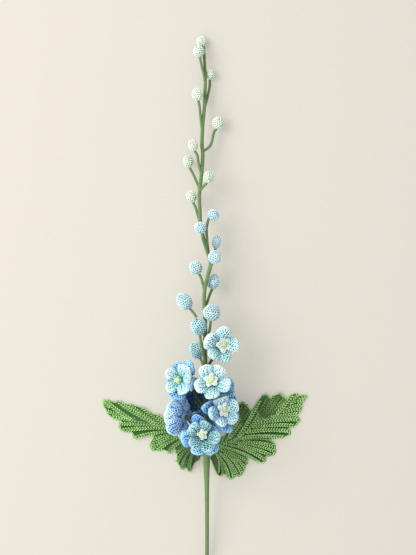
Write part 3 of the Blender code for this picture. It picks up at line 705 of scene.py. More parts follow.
class Tap:
    """A node's output that takes part in sums."""

    def __init__(self, graph: Graph, socket: bpy.types.NodeSocket) -> None:
        """Wrap an output.

        Args:
            graph: The material's nodes.
            socket: The output.
        """
        self.graph = graph
        self.socket = socket

    def math(self, operation: str, first: Tap | float, second: Tap | float = 0.0) -> Tap:
        """Return the result of a Math node on two values."""
        return self.graph.node("ShaderNodeMath", {"operation": operation}, {0: first, 1: second})

    def __add__(self, other: Tap | float) -> Tap:
        """Return the sum."""
        return self.math("ADD", self, other)

    __radd__ = __add__

    def __sub__(self, other: Tap | float) -> Tap:
        """Return what is left."""
        return self.math("SUBTRACT", self, other)

    def __rsub__(self, other: float) -> Tap:
        """Return a number less this one."""
        return self.math("SUBTRACT", other, self)

    def __mul__(self, other: Tap | float) -> Tap:
        """Return the product."""
        return self.math("MULTIPLY", self, other)

    __rmul__ = __mul__

    def sine(self) -> Tap:
        """Return the sine."""
        return self.math("SINE", self)

    def band(self, low: float, high: float) -> Tap:
        """Return 0 below low and 1 above high, with a smooth rise between.

        Args:
            low: Where the rise starts.
            high: Where it ends.

        Returns:
            The tap on it.
        """
        settings = {"interpolation_type": "SMOOTHSTEP"}
        inputs = {"Value": self, "From Min": low, "From Max": high}
        return self.graph.node("ShaderNodeMapRange", settings, inputs)


@dataclass(frozen=True)
class Yarn:
    """Matt cotton yarn: plied strands, a slight mottle, and painted shade between the stitches and in dark
    places.

    Attributes:
        name: The material's name.
        slot: The record's slot that it stands for.
        light: The colour on top of the yarn.
        deep: A painted shade colour, between the stitches and between the plies.
        tint: A second colour that some stitches take.
        root: A painted shade colour where the shade is 1, as at a petal's root and on the stem in the
            cluster;
        on a few blue petals it is their own deeper blue.
        share: How far the tint goes, from 0 to 1.
        shade_share: How far the root's colour, mostly a painted shade, goes, from 0 to 1.
        plies: How many turns the plies make along one stitch, or 0 for smooth thread.
        patch_scale: The scale of the mottle's noise.
        fluff_scale: The scale of the noise for the yarn's fluff.
        relief: How high the plies and the fluff stand, in metres.
        roughness: How matt it is.
    """

    name: str
    slot: str
    light: Colour
    deep: Colour
    tint: Colour
    root: Colour
    share: float = 0.8
    shade_share: float = 0.5
    plies: float = 2.0
    patch_scale: float = 150.0
    fluff_scale: float = 2600.0
    relief: float = 0.00022
    roughness: float = 0.86

    def material(self) -> bpy.types.Material:
        """Make the material, or return it if it is made.

        The colour goes from light to the tint by share (0.4 patches + 0.7 tone^2), from there to the root's
        colour, mostly a painted shade, by the shade, and to the deep colour, a painted shade, where the crest
        is low between the stitches. The plies are the sine of the turns along and round a stitch: they paint
        shade between the plies, darkening the yarn by up to 0.18, and raise it by 0.6, and the fluff raises
        it by 0.5.

        Returns:
            The material.
        """
        made = bpy.data.materials.get(self.name)
        if made is not None:
            return made
        graph = Graph(self.name)
        crest = graph.attribute("crest")
        tone = graph.attribute("tone")
        shade = graph.attribute("shade")
        patches = graph.noise(self.patch_scale, 2.0).band(0.35, 0.65)
        colour = graph.mix((patches * 0.4 + tone * tone * 0.7) * self.share, self.light, self.tint)
        # Painted shade: towards the root's colour where the shade is high.
        root = graph.mix(tone * 0.5, self.root, self.deep)
        colour = graph.mix(shade.band(0.1, 1.0) * self.shade_share, colour, root)
        # Painted shade: towards the deep colour where the crest is low, between the stitches.
        colour = graph.mix(crest.band(0.12, 0.85), self.deep, colour)
        height = graph.noise(self.fluff_scale, 2.0) * 0.5
        if self.plies:
            uv = graph.node("ShaderNodeUVMap", {"uv_map": "yarn"})
            along, around = (graph.node("ShaderNodeSeparateXYZ", inputs={0: uv}, output=k) for k in range(2))
            ply = ((along * self.plies + around * 2.0) * (2 * math.pi)).sine() * 0.5 + 0.5
            # Painted shade between the plies.
            colour = graph.mix((1.0 - ply) * 0.18, colour, self.deep)
            height = ply * 0.6 + height
        graph.set(base_color=colour, roughness=self.roughness, specular_IOR_level=0.25)
        graph.set(sheen_weight=0.2, sheen_roughness=0.5)
        graph.bump(height, self.relief)
        return graph.material


@dataclass(frozen=True)
class Steel:
    """Drawn steel wire, with fine marks along it.

    Attributes:
        name: The material's name.
        colour: Its colour.
        marks: The scale of the marks' noise.
        relief: How high the marks stand, in metres.
    """

    name: str = "drawn_wire"
    colour: Colour = (0.42, 0.42, 0.43, 1.0)
    marks: float = 900.0
    relief: float = 0.00003

    def material(self) -> bpy.types.Material:
        """Make the material and return it."""
        graph = Graph(self.name)
        marks = graph.noise(self.marks)
        graph.set(base_color=self.colour, metallic=1.0, roughness=0.28 + marks * 0.2)
        graph.bump(marks, self.relief)
        return graph.material


STEM_YARN = Yarn(
    "stem_thread", "stem", (0.108, 0.190, 0.060, 1), (0.025, 0.06, 0.012, 1), (0.155, 0.235, 0.10, 1),
    (0.010, 0.035, 0.016, 1), shade_share=0.97, plies=0.0,
)
LEAF_YARN = Yarn(
    "leaf_yarn", "leaf", (0.36, 0.62, 0.21, 1), (0.022, 0.070, 0.010, 1), (0.22, 0.44, 0.12, 1),
    (0.03, 0.08, 0.016, 1), shade_share=0.85,
)
MINT_YARN = Yarn(
    "mint_yarn", "bud_mint", (0.82, 0.91, 0.78, 1), (0.40, 0.53, 0.39, 1), (0.62, 0.75, 0.62, 1),
    (0.55, 0.72, 0.50, 1),
)
SKY_YARN = Yarn(
    "sky_yarn", "bud_sky", (0.80, 0.96, 0.97, 1), (0.16, 0.36, 0.44, 1), (0.44, 0.68, 0.76, 1),
    (0.30, 0.52, 0.58, 1),
)
BLUE_BUD_YARN = Yarn(
    "bud_blue_yarn", "bud_blue", (0.84, 0.98, 0.98, 1), (0.06, 0.24, 0.28, 1), (0.34, 0.62, 0.70, 1),
    (0.20, 0.46, 0.50, 1),
)
DEEP_BUD_YARN = Yarn(
    "bud_deep_yarn", "bud_blue", (0.66, 0.88, 0.90, 1), (0.03, 0.17, 0.20, 1), (0.22, 0.47, 0.53, 1),
    (0.10, 0.34, 0.38, 1),
)
PALE_YARN = Yarn(
    "pale_petal_yarn", "petal_pale", (0.87, 0.97, 0.98, 1), (0.06, 0.42, 0.45, 1), (0.52, 0.85, 0.89, 1),
    (0.02, 0.36, 0.38, 1), shade_share=0.9,
)
MIXED_YARN = Yarn(
    "mixed_petal_yarn", "petal_pale", (0.93, 1.0, 1.0, 1), (0.02, 0.30, 0.38, 1), (0.34, 0.76, 0.82, 1),
    (0.10, 0.36, 0.78, 1), shade_share=0.9,
)
# Bloom 5's inner yarn: the pale yarn darker and more teal, a painted shade for petals that lie in shade.
SHADED_TEAL_YARN = Yarn(
    "shaded_teal_petal_yarn", "petal_pale", (0.60, 0.88, 0.91, 1), (0.005, 0.13, 0.15, 1), (0.12, 0.40, 0.46, 1),
    (0.006, 0.18, 0.20, 1), shade_share=0.95,
)
AZURE_YARN = Yarn(
    "azure_petal_yarn", "petal_blue", (0.44, 0.78, 1.0, 1), (0.005, 0.09, 0.34, 1), (0.11, 0.41, 0.84, 1),
    (0.012, 0.18, 0.58, 1), shade_share=0.8,
)
VIOLET_YARN = Yarn(
    "violet_petal_yarn", "petal_blue", (0.62, 0.88, 1.0, 1), (0.05, 0.20, 0.56, 1), (0.32, 0.58, 1.0, 1),
    (0.08, 0.26, 0.62, 1), shade_share=0.45,
)
# Bloom 7's outer yarn: its own deep blue, darkened further as painted shade for a bloom deep in the cluster.
NAVY_YARN = Yarn(
    "navy_petal_yarn", "petal_blue", (0.22, 0.50, 0.90, 1), (0.002, 0.02, 0.09, 1), (0.04, 0.20, 0.56, 1),
    (0.006, 0.07, 0.26, 1), shade_share=0.85,
)
HEART_YARN = Yarn(
    "heart_yarn", "heart", (0.97, 0.99, 0.95, 1), (0.30, 0.55, 0.50, 1), (0.88, 0.95, 0.91, 1),
    (0.70, 0.86, 0.80, 1), shade_share=0.3,
)
# Bloom 3's heart yarn: the heart yarn darkened, a painted shade for a heart that lies in shade.
SHADED_HEART_YARN = Yarn(
    "shaded_heart_yarn", "heart", (0.62, 0.84, 0.74, 1), (0.04, 0.16, 0.12, 1), (0.30, 0.52, 0.44, 1),
    (0.05, 0.20, 0.15, 1), shade_share=0.6,
)
EYE_YARN = Yarn(
    "eye_yarn", "eye", (0.47, 0.60, 0.25, 1), (0.12, 0.20, 0.05, 1), (0.60, 0.70, 0.38, 1),
    (0.3, 0.42, 0.1, 1),
)


def place(piece: bpy.types.Object, yarn: Yarn, node: str) -> None:
    """Let a piece stand for its solid: hang it on the root body and hide the solid.

    Args:
        piece: The finished piece.
        yarn: Its yarn; not used.
        node: The solid that it stands for.
    """
    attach(piece, "root")
    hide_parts(node)
    LOG.info("%s: %d faces", piece.name, len(piece.data.polygons))


@dataclass(frozen=True)
class Bud:
    """A yarn ball on a twig.

    Attributes:
        number: Its number, from the tip of the stem.
        middle: Its grid position.
        z: Its height.
        width: Its width in grid steps.
        length: Its length in grid steps.
        lean: How far it leans to the right, in degrees.
        pointed: How much it narrows to its tip.
        twig: Grid positions of its twig, from below the ball to the fork.
        inset: How far inside its outline the stitches' middles lie, across and along it.
        twig_radius: Its twig's radius.
    """

    number: int
    middle: Point
    z: float
    width: float
    length: float
    lean: float
    pointed: float
    twig: tuple[Point, ...]
    inset: Point = (0.25, 0.2)
    twig_radius: float = 1.45

    def frame(self) -> tuple[Array, Array, float, float]:
        """Return its middle, the direction it points in and its half width and half length."""
        turn = math.radians(self.lean)
        axis = np.array([math.sin(turn), math.cos(turn), 0.0])
        return on_grid(*self.middle, self.z), axis, 0.5 * self.width * GRID, 0.5 * self.length * GRID

    def yarn(self) -> Yarn:
        """Return its yarn: mint near the tip, then sky, blue and deep blue."""
        ends = ((10, MINT_YARN), (14, SKY_YARN), (18, BLUE_BUD_YARN), (20, DEEP_BUD_YARN))
        return next(yarn for end, yarn in ends if self.number < end)

    def build(self) -> None:
        """Crochet the ball, of slightly larger stitches where it is wider."""
        middle, axis, wide, long = self.frame()
        size = 0.75 + 0.018 * self.width
        across = wide - self.inset[0]
        half = (across, across, long - self.inset[1])
        # The puff's usual shading paints shade at the ball's base.
        puff = Puff(middle, axis, Z_AXIS, half, stitch=(2.8 * size, 2.25 * size), tip=self.pointed)
        fabric = Fabric()
        puff.knit(fabric, np.random.default_rng(self.number))
        fabric.bend(off_floor)
        name = f"bud_{self.number:02d}"
        place(fabric.make(f"{name}_ball", self.yarn().material()), self.yarn(), name)

    def twig_tube(self, stem: Stem) -> WoundTube:
        """Return its twig, from inside the ball to its fork on the stem.

        At the share s of the way to the fork it has climbed s^1.5 of the height between them.

        Args:
            stem: The stem that it forks from.

        Returns:
            The tube.
        """
        middle, axis, _, long = self.frame()
        base = middle - long * axis
        fork = on_grid(*self.twig[-1], stem.lift(self.twig[-1][1]))
        inner = np.array([on_grid(*point) for point in self.twig[:-1]]).reshape(-1, 3)
        reach = np.linalg.norm((fork - base)[:2])
        share = np.minimum(1.0, np.linalg.norm((inner - base)[:, :2], axis=1) / reach)
        inner[:, 2] = base[2] + (fork[2] - base[2]) * share**1.5
        path = np.vstack([base + 2.0 * axis, base - 1.0 * axis, inner, fork])
        return WoundTube(path, np.full(len(path), self.twig_radius), pitch=1.2, sides=7)


@dataclass(frozen=True)
class Petal:
    """One petal's place in its ring.

    Attributes:
        angle: Its angle.
        out: How much farther out it lies than the ring's usual reach.
        wide: Its width, where 1 is the usual.
        lift: How far its tip is lifted.
        tip: How much of the root's colour reaches its tip.
    """

    angle: float
    out: float = 0.0
    wide: float = 1.0
    lift: float = 0.0
    tip: float = 0.0


@dataclass(frozen=True)
class PetalRing:
    """One ring of petals and the hub that holds them, in the bloom's own frame.

    Attributes:
        reach: How far out a petal's middle lies.
        wide: Half a petal's width.
        thick: Half a petal's thickness.
        long: Half a petal's length seen from the front.
        level: The height of the ring's middle sheet at its centre.
        cup: How that sheet rises outwards, by the square of the distance.
        turn: The angle by which the ring is turned.
        hub: The height of its hub.
        hub_radius: The hub's radius.
        count: How many petals it has where they lie evenly.
        edge: The distance from the middle at which a lifted petal's lift is measured.
        stitch: The stitches' width and height.
    """

    reach: float
    wide: float
    thick: float
    long: float
    level: float
    cup: float
    turn: float
    hub: float
    hub_radius: float
    count: int = 5
    edge: float = 18.4
    stitch: Point = (3.1, 2.5)

    def shape(self, petal: Petal, draws: np.random.Generator) -> Puff:
        """Shape one petal along the ring's middle sheet.

        At the distance r from the middle the sheet's height is level + cup r^2 + lift (r / edge)^3.

        Args:
            petal: The petal's place.
            draws: Random numbers, which turn, tilt, roll and size each petal a little differently.

        Returns:
            The petal.
        """
        reach = self.reach + petal.out
        slope = 2 * self.cup * reach + 3 * petal.lift * reach**2 / self.edge**3
        height = self.level + self.cup * reach**2 + petal.lift * (reach / self.edge) ** 3
        out = ray(petal.angle + draws.normal(0.0, 3.0))
        side = np.cross(Z_AXIS, out)
        axis = unit(out + (slope + draws.normal(0.0, 0.08)) * Z_AXIS)
        up = unit(np.cross(axis, side)) * (-1.0 if np.cross(axis, side)[2] < 0 else 1.0)
        up = unit(up + draws.normal(0.0, 0.12) * side)
        scale = draws.normal(1.0, 0.05)
        half = (self.wide * petal.wide * scale, self.thick, self.long * scale / math.cos(math.atan(slope)))
        # Each petal takes full painted shade at its root, and its tip's share of it at its tip.
        return Puff(
            out * reach + height * Z_AXIS, axis, up, half, self.stitch, root=0.4, boxy=2.7, lumps=0.055,
            shading=(1.0, petal.tip),
        )

    def crochet(self, bloom: Bloom, petals: tuple[Petal, ...], draws: np.random.Generator) -> Fabric:
        """Crochet the petals and their hub.

        Args:
            bloom: The bloom that they belong to.
            petals: The petals, or none where they lie evenly.
            draws: Random numbers.

        Returns:
            The fabric.
        """
        fabric = Fabric()
        even = [Petal(bloom.first + self.turn + 360.0 / self.count * k) for k in range(self.count)]
        for petal in petals or even:
            self.shape(petal, draws).knit(fabric, draws)
        # The hub of a bloom that faces the floor is smaller, to stay behind its petals.
        radius = self.hub_radius if bloom.facing[2] > 0 else 0.6 * self.hub_radius
        # The hub takes full painted shade, which shows between the petals' roots.
        hub = Puff(self.hub * Z_AXIS, Z_AXIS, Y_AXIS, (radius, radius, 1.7), shading=(1.0, 1.0))
        hub.knit(fabric, draws)
        return fabric


INNER_RING = PetalRing(
    reach=11.0, wide=7.15, thick=3.8, long=6.9, level=-0.8, cup=0.026, turn=0.0, hub=-0.9, hub_radius=6.0
)
OUTER_RING = PetalRing(
    reach=15.2, wide=8.0, thick=3.1, long=8.2, level=-6.0, cup=0.015, turn=36.0, hub=-5.6, hub_radius=9.6
)


@dataclass(frozen=True)
class Heart:
    """A bloom's white heart: short and long puffs in turn, like rays, round a dip.

    Attributes:
        rays: How many rays it has.
        short: A short ray's reach, half width, half length, height and tilt.
        longer: What a long ray adds to each of them.
        thick: Half a ray's thickness.
        hub: The half sizes of the puff under the dip.
        hub_height: That puff's height.
        stitch: The stitches' width and height.
    """

    rays: int = 10
    short: tuple[float, ...] = (5.2, 1.7, 2.0, 2.7, 0.1)
    longer: tuple[float, ...] = (2.1, 0.5, 1.3, 0.9, 0.1)
    thick: float = 1.5
    hub: Point = (3.7, 1.3)
    hub_height: float = 2.9
    stitch: Point = (2.2, 1.8)

    def crochet(self, first: float, size: float, draws: np.random.Generator) -> Fabric:
        """Crochet it.

        Args:
            first: The angle of its first ray.
            size: Its size, where 1 is the usual.
            draws: Random numbers.

        Returns:
            The fabric.
        """
        fabric = Fabric()
        for k in range(self.rays):
            reach, wide, usual, height, tilt = np.array(self.short) + k % 2 * np.array(self.longer)
            out = ray(first + 360.0 / self.rays * k + draws.normal(0.0, 6.0))
            axis = out + (tilt + draws.normal(0.0, 0.1)) * Z_AXIS
            long = usual + draws.normal(0.0, 0.25)
            centre = out * (reach * size - long) + height * Z_AXIS
            half = (wide * size, self.thick, long)
            # Each ray takes painted shade towards its root.
            Puff(centre, axis, Z_AXIS, half, self.stitch, shading=(0.6, 0.0)).knit(fabric, draws)
        radius, thick = self.hub
        half = (radius * size, radius * size, thick)
        Puff(self.hub_height * Z_AXIS, Z_AXIS, Y_AXIS, half, self.stitch).knit(fabric, draws)
        return fabric


@dataclass(frozen=True)
class Eye:
    """A bloom's knotted eye: turns of yarn side by side.

    Attributes:
        places: Where the turns lie across it.
        lengths: Half the length of each turn.
        thick: The yarn's radius.
        height: How high the turns lie.
        leg: The form of one turn.
    """

    places: Vec = (-1.25, 0.0, 1.25)
    lengths: Vec = (3.2, 3.6, 3.2)
    thick: float = 0.85
    height: float = 5.2
    leg: Stitch = Stitch(sides=8, stations=(-0.9, -0.6, -0.2, 0.2, 0.6, 0.9), bow=0.3)

    def wind(self, angle: float, share: float, draws: np.random.Generator) -> Fabric:
        """Wind it.

        A turn at the place p across lies at height + 0.5 - 0.2 p^2 and leans outwards by 0.25 p.

        Args:
            angle: The angle that the turns run at.
            share: Their length, where 1 is the usual.
            draws: Random numbers.

        Returns:
            The fabric.
        """
        fabric = Fabric()
        long = ray(angle)
        side = np.cross(Z_AXIS, long)
        places = np.array(self.places)[:, None]
        at = side * places + self.height * Z_AXIS + (0.5 - 0.2 * places**2) * Z_AXIS
        ups = Z_AXIS + 0.25 * places * side
        number = len(places)
        lean = long + 0.12 * side * draws.normal(0.0, 1.0, number)[:, None]
        half = share * np.array(self.lengths)
        self.leg.sew(fabric, at, lean, ups, half, np.full(number, self.thick), draws.random(number))
        return fabric


@dataclass(frozen=True)
class Bloom:
    """A crocheted bloom: one or two rings of puffed petals, a white heart and a knotted eye.

    Attributes:
        number: Its number.
        eye: The eye's grid position.
        z: The eye's height.
        facing: The direction it faces.
        first: The angle of its first petal.
        size: Its size, where 1 is the largest.
        double: Whether it has the blue outer ring.
        stalk: Waypoints of its stalk, from the calyx to the stem.
        presses: Extra planes that it is pressed against, each a point and a direction.
        inner: The yarn of its inner ring.
        outer: The yarn of its outer ring.
        heart: How large its white heart is, where 1 is the usual size.
        heart_yarn: The heart's yarn.
        inner_petals: Its inner petals, if they lie unevenly.
        outer_petals: Its outer petals, if they do.
        seat: Where its heart and eye sit off its middle.
        stripe: The angle that the eye's turns run at, and their length, where 1 is the usual.
        eye_height: How high its eye stands over its middle.
        seat_rise: How much higher the heart sits for each millimetre off the middle.
        stem_room: How far it keeps from the stem.
        calyx: How far behind its middle the stalk meets a single and a double bloom.
        stalk_radii: The stalk's radius at its three points in the calyx, and along the rest.
    """

    number: int
    eye: Point
    z: float
    facing: Vec
    first: float
    size: float
    double: bool
    stalk: tuple[Vec, ...]
    presses: tuple[tuple[Vec, Vec], ...] = ()
    inner: Yarn = PALE_YARN
    outer: Yarn = AZURE_YARN
    heart: float = 1.0
    heart_yarn: Yarn = HEART_YARN
    inner_petals: tuple[Petal, ...] = ()
    outer_petals: tuple[Petal, ...] = ()
    seat: Point = (0.0, 0.0)
    stripe: Point = (90.0, 1.0)
    eye_height: float = 5.7
    seat_rise: float = 0.4
    stem_room: float = 1.2
    calyx: Point = (3.2, 8.6)
    stalk_radii: tuple[float, ...] = (2.6, 2.4, 1.8, 1.55)

    def frame(self) -> tuple[Array, Array, Array, Array]:
        """Return its heart, its facing direction and the two directions across it."""
        facing = unit(self.facing)
        pick = Z_AXIS if abs(facing[0]) > 0.9 else X_AXIS
        across = unit(pick - facing * np.dot(pick, facing))
        heart = on_grid(*self.eye, self.z) - self.eye_height * self.size * facing
        return heart, facing, across, np.cross(facing, across)

    def middle(self) -> Array:
        """Return the middle of its bulk."""
        heart, facing, _, _ = self.frame()
        return heart - facing * self.size

    def planes(self, others: tuple[Bloom, ...], stem: Stem) -> list[tuple[Array, Array]]:
        """Find the planes that keep it clear of its neighbours and of the stem.

        Args:
            others: All blooms.
            stem: The stem.

        Returns:
            Points on the planes and the directions that are out of bounds.
        """
        own = self.middle()
        planes = []
        for other in others:
            away = other.middle() - own
            if other is not self and np.linalg.norm(away) < NEIGHBOURS:
                planes.append((own + self.size / (self.size + other.size) * away, away * OVERLAP))
        axis = stem.at_y(own[1])
        inward = (axis - own) * (X_AXIS + Z_AXIS)
        planes.append((axis - unit(inward) * (stem.radius_at(own[1]) + self.stem_room), inward))
        planes += [(np.array(point), np.array(way)) for point, way in self.presses]
        return planes

    def set_in(self, others: tuple[Bloom, ...], stem: Stem) -> Rule:
        """Return the rule that sets its own frame's points in the cluster, pressed against its neighbours.

        Args:
            others: All blooms.
            stem: The stem.

        Returns:
            The rule.
        """
        heart, facing, across, along = self.frame()
        planes = self.planes(others, stem)

        def rule(points: Array) -> Array:
            """Turn, move and press the points.

            Args:
                points: Points in the bloom's own frame.

            Returns:
                Their places in the cluster.
            """
            local = points * self.size
            moved = heart + local[:, :1] * across + local[:, 1:2] * along + local[:, 2:] * facing
            for origin, outward in planes:
                moved = press(moved, origin, outward, PRESS_DEPTH)
            return moved

        return rule

    def build(self, others: tuple[Bloom, ...], stem: Stem) -> None:
        """Make the bloom's pieces, back to front.

        Args:
            others: All blooms.
            stem: The stem.
        """
        rule = self.set_in(others, stem)
        draws = np.random.default_rng(100 + self.number)
        name = f"bloom_{self.number}"
        parts = [("inner_petals", INNER_RING.crochet(self, self.inner_petals, draws), self.inner)]
        if self.double:
            parts.append(("outer_petals", OUTER_RING.crochet(self, self.outer_petals, draws), self.outer))
        heart = Heart().crochet(self.first, self.heart, draws)
        eye = Eye().wind(*self.stripe, draws)
        x, y = self.seat
        for fabric in (heart, eye):
            fabric.shift(np.array([x, y, self.seat_rise * math.hypot(x, y)]))
        parts += [("heart", heart, self.heart_yarn), ("eye", eye, EYE_YARN)]
        for part, fabric, yarn in parts:
            fabric.bend(rule)
            place(fabric.make(f"{name}_{part}_yarn", yarn.material()), yarn, f"{name}_{part}")

    def stalk_tube(self) -> WoundTube:
        """Return its stalk, from the calyx to the stem.

        Returns:
            The tube.
        """
        heart, facing, _, _ = self.frame()
        top = heart - (self.calyx[self.double] * self.size + GAP) * facing
        path = np.vstack([top + 0.8 * facing, top - 0.6 * facing, top - 2.4 * facing, np.array(self.stalk)])
        radii = np.full(len(path), self.stalk_radii[-1])
        radii[:3] = self.stalk_radii[:3]
        # Every stalk takes full painted shade.
        return WoundTube(path, radii, 1.0, pitch=1.2, sides=8)


@dataclass(frozen=True)
class Stem:
    """The main stem with every twig and stalk wound in green thread.

    Attributes:
        path: Grid positions of its axis, from the tip to the cut end.
        lift_v: Grid heights at which its height above the floor is given.
        lifts: Those heights above the floor.
        radius_v: Grid heights at which its radius is given.
        radii: Those radii.
        shade_v: Grid heights at which its painted shade is given, darkest where it runs through the cluster.
        shades: Those painted shades.
    """

    path: tuple[Point, ...] = (
        (203.6, 43.5), (204.3, 55.0), (205.2, 70.0), (205.2, 84.0), (204.4, 105.0), (202.6, 125.0),
        (202.0, 143.0), (202.8, 155.0), (201.8, 170.0), (200.3, 183.0), (199.2, 196.0), (199.8, 210.0),
        (200.4, 222.0), (202.8, 235.0), (205.8, 247.0), (208.8, 256.0), (210.6, 264.0), (208.0, 275.0),
        (204.9, 288.0), (204.2, 300.0), (204.8, 315.0), (205.4, 330.0), (204.6, 345.0), (205.3, 362.0),
        (206.0, 380.0), (206.3, 400.0), (206.5, 430.0), (206.5, 441.0), (206.5, 450.0), (206.5, 460.0),
        (206.6, 472.0), (206.8, 486.0), (207.0, 513.0), (207.0, 555.0), (206.5, 604.0),
    )
    lift_v: tuple[float, ...] = (
        43.0, 105.0, 170.0, 235.0, 300.0, 362.0, 430.0, 455.0, 484.0, 513.0, 555.0, 604.0,
    )
    lifts: tuple[float, ...] = (6.2, 13.0, 19.0, 23.0, 26.0, 29.0, 29.0, 27.0, 21.0, 15.5, 8.5, 1.85)
    radius_v: tuple[float, ...] = (40.0, 125.0, 300.0, 380.0, 440.0, 460.0, 475.0, 495.0, 604.0)
    radii: tuple[float, ...] = (1.5, 1.9, 2.0, 2.4, 3.0, 3.6, 3.0, 2.2, 2.0)
    shade_v: tuple[float, ...] = (300.0, 340.0, 370.0, 385.0, 435.0, 460.0)
    shades: tuple[float, ...] = (0.0, 0.45, 0.6, 1.0, 1.0, 0.0)

    def lift(self, v: float) -> float:
        """Return how high its axis lies at a grid height."""
        return float(np.interp(v, self.lift_v, self.lifts))

    def axis(self) -> Array:
        """Return its axis as points."""
        return np.array([on_grid(u, v, self.lift(v)) for u, v in self.path])

    def at_y(self, y: float) -> Array:
        """Return the point of its axis at a place along it.

        Args:
            y: The place along it, in millimetres.

        Returns:
            The point.
        """
        path = self.axis()
        nearest = int(np.argmin(np.abs(path[:, 1] - y)))
        return np.array([path[nearest, 0], y, np.interp(y, path[::-1, 1], path[::-1, 2])])

    def radius_at(self, y: float) -> float:
        """Return its radius at the nearest point of its axis.

        Args:
            y: The place along it, in millimetres.

        Returns:
            The radius.
        """
        path = self.axis()
        v = self.path[int(np.argmin(np.abs(path[:, 1] - y)))][1]
        return float(np.interp(v, self.radius_v, self.radii))

    def build(self, buds: tuple[Bud, ...], blooms: tuple[Bloom, ...]) -> None:
        """Wind the main stem, the twigs and the stalks.

        Args:
            buds: The buds whose twigs fork from it.
            blooms: The blooms whose stalks do.
        """
        axis = self.axis()
        radii = np.array([self.radius_at(y) for y in axis[:, 1]])
        fabric = Fabric()
        # Painted shade on the main stem where it runs through the cluster of blooms.
        shades = np.interp([v for _, v in self.path], self.shade_v, self.shades)
        WoundTube(axis, radii, shades, pitch=1.5, sides=12, open_end=True).wind(fabric, 0.5)
        for bud in buds:
            bud.twig_tube(self).wind(fabric, 0.3 + 0.02 * bud.number)
        for bloom in blooms:
            bloom.stalk_tube().wind(fabric, 0.2)
        fabric.bend(off_floor)
        place(fabric.make("stem_thread", STEM_YARN.material()), STEM_YARN, "stem")


@dataclass(frozen=True)
class Finger:
    """One finger of a leaf.

    Attributes:
        tip: Its tip's grid position.
        foot: Where its middle rib leaves the midrib, from 0 at the stalk to 1 at the point.
        notch: The grid position of the notch after it.
        notch_foot: Where the rib to that notch leaves the midrib.
        curl: How far its tip turns up.
        swell: How full its sides are, from 0, straight to the tip, to 1.
        shade: How much painted shade its yarn takes, from 0 to 1.
    """

    tip: Point
    foot: float
    notch: Point
    notch_foot: float
    curl: float = 0.0
    swell: float = 1.0
    shade: float = 0.0


class Half(IntEnum):
    """The two halves of a leaf, as the picture shows them."""

    UPPER = 0
    LOWER = 1


